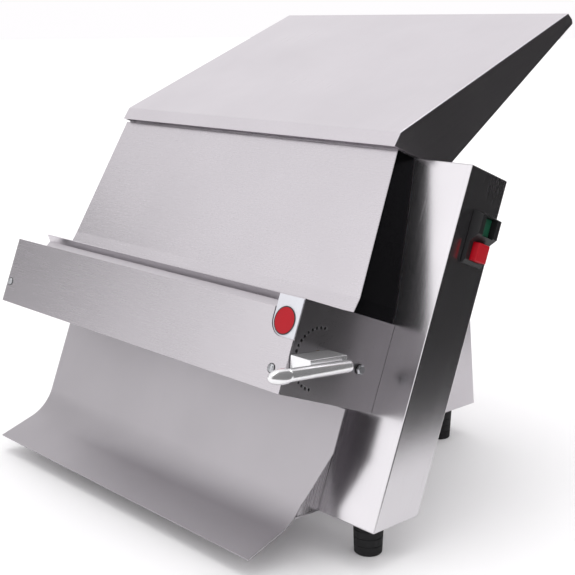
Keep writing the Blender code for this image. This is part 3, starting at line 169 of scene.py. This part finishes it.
def painted_right_shade(mat, colour):
    """Painted shade: a second, dark colour on the faces that look to the right."""
    tree = mat.node_tree
    shader = tree.nodes["Principled BSDF"]
    coords = tree.nodes.new("ShaderNodeTexCoord")
    split = tree.nodes.new("ShaderNodeSeparateXYZ")
    tree.links.new(coords.outputs["Normal"], split.inputs["Vector"])
    base = shader.inputs["Base Color"].links[0].from_socket
    side = ranged(mat, split.outputs["X"], 0, 1)
    tree.links.new(mixed(mat, side, base, colour), shader.inputs["Base Color"])


def duller(mat, level):
    """Weaker gloss on plastic or rubber."""
    mat.node_tree.nodes["Principled BSDF"].inputs["Specular IOR Level"].default_value = level


# Painted light and shade: the slide and shelf copies of the stainless colour are made brighter, and the guard and
# tray copies darker, for how light falls on them
MATS = {
    "sheet_sideways": finish("sheet_sideways", STAINLESS, 0.26, 1.0, SIDEWAYS, LEAN, 0.030, 0.04),
    "sheet_slide": finish("sheet_slide", scaled(STAINLESS, 1.05), 0.28, 1.0, FINE, LEAN, 0.012, 0.02),
    "sheet_guard": finish("sheet_guard", scaled(STAINLESS, 0.94), 0.26, 1.0, FINE, LEAN, 0.012, 0.02),
    "sheet_tray": finish("sheet_tray", scaled(STAINLESS, 0.77), 0.46, 1.0, UPRIGHT, LEAN, 0.02, 0.03),
    "sheet_upright": finish("sheet_upright", STAINLESS, 0.27, 1.0, UPRIGHT, LEAN, 0.045, 0.05),
    "sheet_level": finish("sheet_level", STAINLESS, 0.32, 1.0, SIDEWAYS, 0.0, 0.045, 0.05),
    "sheet_shelf": finish("sheet_shelf", scaled(STAINLESS, 1.11), 0.34, 1.0, DOWNHILL, -SHELF_TILT,
                          0.035, 0.05),
    "housing_sheet": finish("housing_sheet", scaled(BRIGHT, 0.94), 0.24, 1.0, UPRIGHT, LEAN, 0.035,
                            0.03, 0.00001),
    "bright_sheet": finish("bright_sheet", STAINLESS, 0.32, 1.0, SIDEWAYS, LEAN, 0.040, 0.04, 0.00001),
    "polished_steel": finish("polished_steel", BRIGHT, 0.10, 1.0, POLISHING, LEAN, 0.03, 0.03, 0.000006),
    "lever_steel": finish("lever_steel", LEVER_BRIGHT, 0.22, 0.80, POLISHING, LEAN, 0.02, 0.03, 0.000006),
    "zinc_steel": finish("zinc_steel", (0.52, 0.53, 0.55), 0.34, 1.0, (0.0010, 0.0010, 0.0010), 0.0,
                         0.10, 0.08, 0.00003, 0.02),
    "chain_steel": finish("chain_steel", (0.22, 0.21, 0.20), 0.36, 1.0, (0.0008, 0.0008, 0.0008), 0.0,
                          0.18, 0.10, 0.00004, 0.01),
    "bronze": finish("bronze", (0.56, 0.36, 0.17), 0.33, 1.0, (0.0008, 0.0008, 0.0008), 0.0, 0.14,
                     0.08, 0.00004, 0.01),
    "black_plastic": finish("black_plastic", (0.016, 0.016, 0.017), 0.42, 0.0, (0.0006, 0.0006, 0.0006),
                            0.0, 0.15, 0.06, 0.00006, 0.03),
    "black_rubber": finish("black_rubber", (0.013, 0.013, 0.014), 0.72, 0.0, (0.0009, 0.0009, 0.0009),
                           0.0, 0.25, 0.08, 0.00012, 0.02),
    "red_plastic": finish("red_plastic", (0.390, 0.000, 0.008), 0.42, 0.0, (0.0008, 0.0008, 0.0008),
                          0.0, 0.06, 0.05, 0.00003, 0.02),
    "green_plastic": finish("green_plastic", (0.010, 0.085, 0.045), 0.38, 0.0, (0.0008, 0.0008, 0.0008),
                            0.0, 0.08, 0.05, 0.00003, 0.02),
    "white_label": finish("white_label", (0.640, 0.650, 0.690), 0.36, 0.0, (0.0020, 0.0020, 0.0020),
                          0.0, 0.03, 0.05, 0.00002, 0.02, 0.0),
    "grey_paint": finish("grey_paint", (0.20, 0.22, 0.25), 0.46, 0.0, (0.0014, 0.0014, 0.0014), 0.0,
                         0.08, 0.06, 0.00010, 0.05),
}
# Painted shade on the slide's right-facing cheek
painted_right_shade(MATS["sheet_slide"], CHEEK_PAINTED_SHADE)
duller(MATS["red_plastic"], 0.25)
duller(MATS["black_plastic"], 0.35)
duller(MATS["black_rubber"], 0.30)
CAD_FINISH = {
    "sheet_slide": ("infeed_slide",),
    "sheet_sideways": ("nip_guide", "top_plate"),
    "sheet_guard": ("roller_guard",),
    "sheet_upright": ("left_frame_plate", "right_frame_plate", "back_panel"),
    "sheet_level": ("motor_cover", "base_plate"),
    "sheet_shelf": ("dough_shelf",),
    "housing_sheet": ("side_housing",),
    "bright_sheet": ("drive_end_cover", "infeed_lip"),
    "lever_steel": ("lever_block",),
    "zinc_steel": ("upper_tie_bar", "lower_tie_bar", "rear_scraper", "front_scraper", "eccentric_shaft",
                   "drive_shaft", "index_pin", "index_spring", "gearbox_bracket", "rear_shaft"),
    # The gears share the dark chain steel: partly their own oily tone, partly painted shade seen through the
    # index holes
    "chain_steel": ("front_gear", "rear_gear", "roller_sprocket", "drive_sprocket"),
    "bronze": ("rear_bush_left", "rear_bush_right", "pivot_bush_left", "pivot_bush_right", "drive_bush",
               "roller_bush_left", "roller_bush_right"),
    "black_plastic": ("run_capacitor", "terminal_box", "cable_gland", "motor_fan_cap"),
    "white_label": ("guard_label",),
    "grey_paint": ("gearbox_case",),
}


def dress_cad():
    """Gives every kept CAD node its finish."""
    for name, nodes in CAD_FINISH.items():
        for node in nodes:
            data = NODES[node].data
            data.materials.clear()
            data.materials.append(MATS[name])


# ---- mesh helpers ---------------------------------------------------------------------------
def piece(name, verts, faces, mat, body, nodes=(), smooth=35):
    """Mesh piece on a CAD body, in the place of some CAD nodes."""
    mesh = bpy.data.meshes.new(name)
    mesh.from_pydata([tuple(v) for v in verts], [], faces)
    mesh.validate()
    mesh.materials.append(MATS[mat])
    if smooth:
        mesh.shade_smooth()
        mesh.set_sharp_from_angle(angle=math.radians(smooth))
    item = bpy.data.objects.new(name, mesh)
    bpy.context.scene.collection.objects.link(item)
    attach(item, body)
    if nodes:
        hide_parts(*nodes)
    return item


def turned(profile, at, axis, sides=64):
    """Turned solid: (radius, height) pairs along an axis from a point; zero radii close it."""
    axis = Vector(axis).normalized()
    u = axis.orthogonal().normalized()
    v = axis.cross(u)
    verts, rows = [], []
    for radius, height in profile:
        base = Vector(at) + axis * height
        if radius < 1e-6:
            rows.append([len(verts)])
            verts.append(base)
            continue
        rows.append(list(range(len(verts), len(verts) + sides)))
        for i in range(sides):
            turn = 2 * math.pi * i / sides
            verts.append(base + u * (radius * math.cos(turn)) + v * (radius * math.sin(turn)))
    faces = []
    for a, b in zip(rows, rows[1:]):
        for i in range(sides):
            j = (i + 1) % sides
            if len(a) == 1:
                faces.append((a[0], b[j], b[i]))
            elif len(b) == 1:
                faces.append((a[i], a[j], b[0]))
            else:
                faces.append((a[i], a[j], b[j], b[i]))
    return verts, faces


def tube(profile, at, axis, sides=64):
    """Turned ring: the profile is closed on itself."""
    return turned([*profile, profile[0]], at, axis, sides)


def rounded_block(low, high, radius, place, steps=4):
    """Box with rounded edges and corners, its corners given in the frame that place maps."""
    centre_point = [(a + b) / 2 for a, b in zip(low, high)]
    inner = [(b - a) / 2 - radius for a, b in zip(low, high)]
    verts, faces = [], []
    rows = 2 * (steps + 1)
    for i in range(rows):
        tall = i >= rows // 2
        up = -math.pi / 2 + (i - tall) * math.pi / (rows - 2)
        for j in range(4 * (steps + 1)):
            corner = j // (steps + 1)
            turn = (corner + (j - corner * (steps + 1)) / steps) * math.pi / 2
            sx = 1 if corner in (0, 3) else -1
            sy = 1 if corner in (0, 1) else -1
            sz = 1 if tall else -1
            verts.append(place(centre_point[0] + sx * inner[0] + radius * math.cos(up) * math.cos(turn),
                               centre_point[1] + sy * inner[1] + radius * math.cos(up) * math.sin(turn),
                               centre_point[2] + sz * inner[2] + radius * math.sin(up)))
    wide = 4 * (steps + 1)
    for i in range(rows - 1):
        for j in range(wide):
            k = (j + 1) % wide
            faces.append((i * wide + j, i * wide + k, (i + 1) * wide + k, (i + 1) * wide + j))
    faces.append(tuple(reversed(range(wide))))
    faces.append(tuple(range((rows - 1) * wide, rows * wide)))
    return verts, faces


def merged(parts):
    """Several (verts, faces) as one."""
    verts, faces = [], []
    for some_verts, some_faces in parts:
        start = len(verts)
        verts += some_verts
        faces += [tuple(i + start for i in face) for face in some_faces]
    return verts, faces


# ---- rollers and feet -----------------------------------------------------------------------
def rollers():
    """Ground rollers with chamfered ends; the front one has its gear hub."""
    for node, body in (("rear_roller", "rear_roller"), ("front_roller", "front_roller")):
        low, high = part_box(node)
        middle = (low + high) / 2
        radius = (high.z - low.z) / 2 - 0.00002
        start, end = low.x, high.x
        hub, bore, edge = [], 0.0105, 0.0008
        if node == "front_roller":
            hub_radius, bore = 0.0128, 0.0112
            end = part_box("rear_roller")[1].x
            hub = [(hub_radius, end), (hub_radius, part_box("front_gear")[1].x)]
        profile = [(bore, start), (radius - edge, start), (radius, start + edge), (radius, end - edge),
                   (radius - edge, end), *hub, (bore, hub[-1][1] if hub else end)]
        verts, faces = tube(profile, (0, middle.y, middle.z), X, 96)
        piece(node + "_ground", verts, faces, "polished_steel", body, (node,))


def feet():
    """Rubber feet with three moulded grooves and a washer above."""
    for node in ("foot_front_left", "foot_front_right", "foot_rear_left", "foot_rear_right"):
        low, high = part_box(node)
        middle = (low + high) / 2
        tall = high.z
        at = (middle.x, middle.y, 0)
        top, foot, hollow, edge = (high.x - low.x) / 2 - 0.0001, 0.0138, 0.0050, 0.0012
        first, pitch, groove, depth = 0.010, 0.008, 0.0008, 0.0006
        profile = [(0, edge), (hollow, edge), (hollow + depth, 0), (foot - edge, 0), (foot, edge)]
        for i in range(3):
            z = first + i * pitch
            radius = foot + (top - foot) * z / tall
            profile += [(radius, z - groove), (radius - depth, z - 0.0003), (radius - depth, z + 0.0003),
                        (radius, z + groove)]
        profile += [(top, tall - 0.0022), (top - depth, tall - 0.0016), (0, tall - 0.0016)]
        verts, faces = turned(profile, at, UPWARD, 64)
        piece(node + "_rubber", verts, faces, "black_rubber", "root", (node,))
        rim = top - groove
        washer = [(0, tall - 0.0015), (rim - 0.0004, tall - 0.0015), (rim, tall - 0.0011), (rim, tall), (0, tall)]
        verts, faces = turned(washer, at, UPWARD, 48)
        piece(node + "_washer", verts, faces, "zinc_steel", "root")


# ---- outfeed tray ---------------------------------------------------------------------------
def tray():
    """Tray as one smooth sheet: straight down, round its bend, then straight out."""
    tray_n, bend, radius, sweep, lip, sheet = 0.0350, -0.1300, 0.0500, math.radians(50), 0.0430, 0.0012
    step_in, step_length, steps = -0.0830, 0.0570, 30
    points = [(tray_n, l) for l in (-0.0400, -0.0620, step_in, -0.0980, -0.1150)]
    for i in range(steps + 1):
        turn = sweep * i / steps
        points.append((tray_n - radius * (1 - math.cos(turn)), bend - radius * math.sin(turn)))
    n, l = points[-1]
    for share in (0.33, 0.66, 1.0):
        points.append((n - share * lip * math.sin(sweep), l - share * lip * math.cos(sweep)))
    low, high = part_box("outfeed_tray")
    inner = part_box("right_frame_plate")[1].x + 0.0030
    verts = []
    for i, (n, l) in enumerate(points):
        before, after = points[max(0, i - 1)], points[min(len(points) - 1, i + 1)]
        along = Vector((after[0] - before[0], after[1] - before[1])).normalized()
        share = min(1.0, max(0.0, (step_in - l) / step_length))
        right = high.x + share * (inner - high.x)
        for x in (low.x, right):
            verts.append(lean(x, n, l))
            verts.append(lean(x, n - along.y * sheet, l + along.x * sheet))
    faces = [(0, 1, 3, 2)]
    count = len(points)
    for i in range(count - 1):
        a, b = 4 * i, 4 * i + 4
        faces += [(a, a + 2, b + 2, b), (a + 1, b + 1, b + 3, a + 3),
                  (a, b, b + 1, a + 1), (a + 2, a + 3, b + 3, b + 2)]
    last = 4 * (count - 1)
    faces.append((last, last + 2, last + 3, last + 1))
    piece("tray_sheet", verts, faces, "sheet_tray", "root", ("outfeed_tray",), 40)


# ---- gap lever ------------------------------------------------------------------------------
def lever_grip():
    """Round grip with a bullet-shaped knob, on the lever block's outer face."""
    low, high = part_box("lever_grip")
    at = Vector(((low.x + high.x) / 2, PIVOT.y, PIVOT.z))
    radius, knob, nose = 0.0058, 0.0070, 0.0150
    start, end, neck = -0.0080, 0.0885, 0.0670
    profile = [(0, start), (radius - 0.0012, start), (radius - 0.0004, start + 0.0004), (radius, start + 0.0012),
               (radius, neck - 0.0018), (radius - 0.0006, neck - 0.0012), (radius - 0.0009, neck - 0.0006),
               (radius - 0.0009, neck), (knob - 0.0010, neck + 0.0004), (knob - 0.0002, neck + 0.0012),
               (knob, neck + 0.0024)]
    steps = 12
    for i in range(steps + 1):
        turn = math.pi / 2 * i / steps
        profile.append((knob * math.cos(turn), end - nose + nose * math.sin(turn)))
    verts, faces = turned(profile, at, LEVER, 64)
    piece("lever_grip_turned", verts, faces, "lever_steel", "lever", ("lever_grip",))


# ---- guard screws and red disc --------------------------------------------------------------
def cross_screw(name, node, at, axis):
    """Pan-head screw with a cross recess: four raised quarters on a domed head."""
    radius, shank, reach_in = 0.0040, 0.0020, -0.0009
    dome = [(0, 0.0017), (0.0020, 0.0016), (0.0032, 0.0012), (0.0038, 0.0008), (radius, 0.0003),
            (shank, 0.0003), (shank, reach_in), (0, reach_in)]
    parts = [turned(dome[::-1], at, axis, 32)]
    axis = Vector(axis).normalized()
    u = (UP - axis * UP.dot(axis)).normalized()
    v = axis.cross(u)
    slot_half, reach, space, curve = 0.00035, 0.0030, 0.14, 55
    for a, b in ((1, 1), (-1, 1), (-1, -1), (1, -1)):
        quarter, steps = [(slot_half, slot_half)], 6
        for i in range(steps + 1):
            turn = space + (math.pi / 2 - 2 * space) * i / steps
            quarter.append((reach * math.cos(turn), reach * math.sin(turn)))
        base = [at + axis * 0.0012 + u * (p * a) + v * (q * b) for p, q in quarter]
        top = [at + axis * (0.0023 - curve * (p * p + q * q)) + u * (p * a) + v * (q * b) for p, q in quarter]
        count = len(quarter)
        ring = [(i, (i + 1) % count, (i + 1) % count + count, i + count) for i in range(count)]
        faces = [tuple(reversed(range(count))), tuple(range(count, 2 * count)), *ring]
        if a * b < 0:
            faces = [tuple(reversed(face)) for face in faces]
        parts.append((base + top, faces))
    verts, faces = merged(parts)
    piece(name, verts, faces, "zinc_steel", "root", (node,), 25)
    verts, faces = tube([(0.0039, 0.0), (0.0046, 0.0), (0.0046, 0.0004), (0.0039, 0.0004)], at, axis, 32)
    piece(node + "_washer", verts, faces, "black_plastic", "root")


def guard_fittings():
    """Screws of the guard's front panel, and the red disc with its dark rim."""
    for side in ("left", "right"):
        node = "guard_screw_" + side
        low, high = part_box(node)
        middle = (low + high) / 2
        front = lean(middle.x, 0, (middle - NIP).dot(UP))
        panel = (centre("roller_guard") - NIP).dot(BACK) - SHEET / 2
        cross_screw(node + "_head", node, front + BACK * panel, -BACK)
    middle = centre("red_disc")
    radius = (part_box("red_disc")[1].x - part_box("red_disc")[0].x) / 2
    inner, outer, half = radius - 0.0010, radius - 0.00005, 0.00019
    verts, faces = turned([(0, -half), (inner, -half), (inner, half), (0, half)], middle, -BACK, 64)
    piece("disc_face", verts, faces, "red_plastic", "root", ("red_disc",))
    rim = [(inner, -half), (outer, -half), (outer, half), (inner, half)]
    verts, faces = tube(rim, middle, -BACK, 64)
    piece("disc_rim", verts, faces, "black_plastic", "root")


def index_hole_painted_shade():
    """Painted shade: a dark ring just inside the end wall, so the index holes look dark where only shade lies
    behind them.
    """
    pivot = centre("pivot_bush_right")
    wall, gap, inner, outer, thick = 0.0015, 0.0003, 0.0266, 0.0306, 0.0006
    at = Vector((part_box("drive_end_cover")[1].x - wall - gap - thick, pivot.y, pivot.z))
    verts, faces = tube([(inner, 0), (outer, 0), (outer, thick), (inner, thick)], at, X, 96)
    piece("index_hole_painted_shade", verts, faces, "black_plastic", "root")


def shaft_nut():
    """Chamfered nut on the rear roller's shaft, with a dark socket and washer."""
    low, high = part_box("shaft_nut")
    middle = centre("shaft_nut")
    foot = Vector((low.x, middle.y, middle.z))
    tall, outer = high.x - low.x, (high.y - low.y) / 2
    socket, seat, bottom = 0.0026, 0.0006, 0.0011
    hexagon = [(socket, seat), (outer, seat), (outer, tall - 0.0008), (outer - 0.0009, tall), (socket, tall)]
    verts, faces = tube(hexagon, foot, X, 6)
    piece("shaft_nut_hexagon", verts, faces, "zinc_steel", "rear_roller", ("shaft_nut",), 25)
    verts, faces = turned([(0, seat), (socket, seat), (socket, bottom), (0, bottom)], foot, X, 24)
    piece("shaft_nut_socket", verts, faces, "black_plastic", "rear_roller")
    wide = outer + 0.0002
    verts, faces = tube([(socket, 0.0), (wide, 0.0), (wide, seat), (socket, seat)], foot, X, 32)
    piece("shaft_nut_washer", verts, faces, "black_plastic", "rear_roller")


# ---- switch ---------------------------------------------------------------------------------
def switch():
    """Switch moulding and its two buttons with rounded edges."""
    for node, mat, slot, body in (("start_button", "green_plastic", "green_plastic", "start_button"),
                                  ("stop_button", "red_plastic", "red_plastic", "stop_button")):
        low, high = button_size(node)
        verts, faces = rounded_block(low, high, 0.0011, lean, 4)
        piece(node + "_cap", verts, faces, mat, body, (node,))
    data = NODES["switch_body"].data
    data.materials.clear()
    data.materials.append(MATS["black_plastic"])


def button_size(node):
    """Lowest and highest corner of a button in the leaning frame."""
    points = [v.co - NIP for v in NODES[node].data.vertices]
    low = (min(p.x for p in points) + NIP.x, min(p.dot(BACK) for p in points), min(p.dot(UP) for p in points))
    high = (max(p.x for p in points) + NIP.x, max(p.dot(BACK) for p in points), max(p.dot(UP) for p in points))
    return low, high


# ---- chain and motor ------------------------------------------------------------------------
def chain():
    """Roller chain round both sprockets: pins, side plates and rollers."""
    low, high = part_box("drive_chain")
    x = (low.x + high.x) / 2
    first, second = centre("rear_gear"), centre("drive_bush")
    first, second = Vector((x, first.y, first.z)), Vector((x, second.y, second.z))
    along = second - first
    half_chain, clearance, pitch = 0.00225, 0.0008, 0.0080
    radii = [sprocket + clearance + half_chain for sprocket in (0.0210, 0.0154)]
    heading = along.normalized()
    side = X.cross(heading)
    tilt = math.acos((radii[0] - radii[1]) / along.length)
    path = []
    for middle, radius, start, sweep in ((first, radii[0], tilt, 2 * math.pi - 2 * tilt),
                                         (second, radii[1], -tilt, 2 * tilt)):
        for i in range(25):
            turn = start + sweep * i / 24
            path.append(middle + heading * (radius * math.cos(turn)) + side * (radius * math.sin(turn)))
    path.append(path[0])
    lengths = [0.0]
    for a, b in zip(path, path[1:]):
        lengths.append(lengths[-1] + (b - a).length)
    count = 2 * round(lengths[-1] / pitch / 2)
    pins, at = [], 0
    for i in range(count):
        want = lengths[-1] * i / count
        while lengths[at + 1] < want:
            at += 1
        share = (want - lengths[at]) / (lengths[at + 1] - lengths[at])
        pins.append(path[at].lerp(path[at + 1], share))
    parts = []
    for i, pin in enumerate(pins):
        for radius, half, sides in ((0.0009, 0.0029, 10), (0.0019, 0.0014, 14)):
            parts.append(turned([(0, -half), (radius, -half), (radius, half), (0, half)], pin, X, sides))
        off = 0.0018 if i % 2 else 0.0024
        for sign in (-1, 1):
            parts.append(link_plate(pin, pins[(i + 1) % count], sign * off, 0.0005))
    verts, faces = merged(parts)
    piece("chain_links", verts, faces, "chain_steel", "root", ("drive_chain",), 30)


def link_plate(a, b, x, thickness):
    """Waisted side plate between two pins, square to X."""
    along = (b - a).normalized()
    across = X.cross(along)
    half = (b - a).length / 2
    middle = (a + b) / 2
    end, waist = 0.0019, 0.0013
    outline = []
    for sign in (1, -1):
        for i in range(7):
            turn = -math.pi / 2 + math.pi * i / 6
            outline.append((sign * (half + end * math.cos(turn)), sign * end * math.sin(turn)))
        outline.append((0, sign * waist))
    base = [middle + along * p + across * q + X * (x - thickness / 2) for p, q in outline]
    top = [v + X * thickness for v in base]
    count = len(outline)
    ring = [(i, (i + 1) % count, (i + 1) % count + count, i + count) for i in range(count)]
    return base + top, [tuple(reversed(range(count))), tuple(range(count, 2 * count)), *ring]


def motor():
    """Finned motor body behind the gearbox."""
    low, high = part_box("motor_case")
    middle = (low + high) / 2
    radius = (high.z - low.z) / 2 - 0.0002
    start, end = low.y, high.y
    nose, root, pitch = 0.028, radius - 0.0030, 0.0068
    profile = [(0, start), (nose, start), (nose, start + 0.010), (radius - 0.004, start + 0.017),
               (radius, start + 0.020)]
    at = start + 0.026
    while at + pitch < end - 0.004:
        profile += [(radius, at), (root, at + 0.0006), (root, at + 0.0040), (radius, at + 0.0046)]
        at += pitch
    profile += [(radius, end), (0, end)]
    verts, faces = turned(profile, (middle.x, 0, middle.z), (0, 1, 0), 64)
    piece("motor_fins", verts, faces, "grey_paint", "root", ("motor_case",))


# ---- studio ---------------------------------------------------------------------------------
def plain(name, colour, rough):
    """Matt paint for the studio."""
    mat = bpy.data.materials.new(name)
    mat.use_nodes = True
    shader = mat.node_tree.nodes["Principled BSDF"]
    shader.inputs["Base Color"].default_value = (*colour, 1.0)
    shader.inputs["Roughness"].default_value = rough
    return mat


def card(name, corners, mat):
    """Flat panel of the studio."""
    mesh = bpy.data.meshes.new(name)
    mesh.from_pydata(corners, [], [(0, 1, 2, 3)])
    mesh.materials.append(mat)
    item = bpy.data.objects.new(name, mesh)
    bpy.context.scene.collection.objects.link(item)
    return item


def studio():
    """Pale floor, even light, dark walls off to the right and a grey one off to the left."""
    floor = plain("floor_paint", (0.94, 0.94, 0.94), 0.9)
    half = 30
    card("floor", [(-half, -half, 0), (half, -half, 0), (half, half, 0), (-half, half, 0)], floor)
    dark = plain("dark_wall_paint", (0.012, 0.012, 0.012), 0.9)
    grey = plain("grey_wall_paint", (0.36, 0.36, 0.36), 0.9)
    corners = ((0.40, 2.00), (0.46, 0.00), (0.80, -0.20), (1.85, -1.80), (1.78, -2.05))
    walls = [("dark_wall_%d" % i, a, b, dark, 2.4) for i, (a, b) in enumerate(zip(corners, corners[1:]))]
    walls.append(("grey_wall", (-2.60, -1.90), (-3.20, 0.60), grey, 1.5))
    for name, a, b, paint, tall in walls:
        wall = card(name, [(*a, 0), (*b, 0), (*b, tall), (*a, tall)], paint)
        wall.visible_camera = False
        wall.visible_diffuse = False
        wall.visible_shadow = False
    world = bpy.data.worlds.new("studio")
    world.use_nodes = True
    world.node_tree.nodes["Background"].inputs["Color"].default_value = (1.0, 0.985, 1.0, 1.0)
    world.node_tree.nodes["Background"].inputs["Strength"].default_value = 1.0
    bpy.context.scene.world = world
    bpy.context.scene.view_settings.view_transform = "Standard"
    light("fill", (-0.35, -0.85, 0.38), 50, 0.25)
    light("top", (0.0, 0.0, 1.0), 40, 0.85)


def light(name, direction, angle, strength):
    """Very soft sun from a direction."""
    lamp = bpy.data.lights.new(name, "SUN")
    lamp.energy = strength
    lamp.angle = math.radians(angle)
    item = bpy.data.objects.new(name, lamp)
    item.rotation_mode = "QUATERNION"
    item.rotation_quaternion = Vector(direction).to_track_quat("Z", "Y")
    bpy.context.scene.collection.objects.link(item)


def camera():
    """Long lens from the front right, a little above the machine."""
    data = bpy.data.cameras.new("camera")
    data.lens = 72.0
    data.sensor_width = 36.0
    item = bpy.data.objects.new("camera", data)
    forward = Vector((-0.7151, 0.6621, -0.2242)).normalized()
    right = Vector((0.6794, 0.7338, 0)).normalized()
    up = right.cross(forward)
    turn = Matrix((right, up, -forward)).transposed().to_4x4()
    item.matrix_world = Matrix.Translation((0.9250, -0.8615, 0.5025)) @ turn
    bpy.context.scene.collection.objects.link(item)
    bpy.context.scene.camera = item


dress_cad()
rollers()
feet()
tray()
lever_grip()
guard_fittings()
index_hole_painted_shade()
shaft_nut()
switch()
chain()
motor()
studio()
camera()
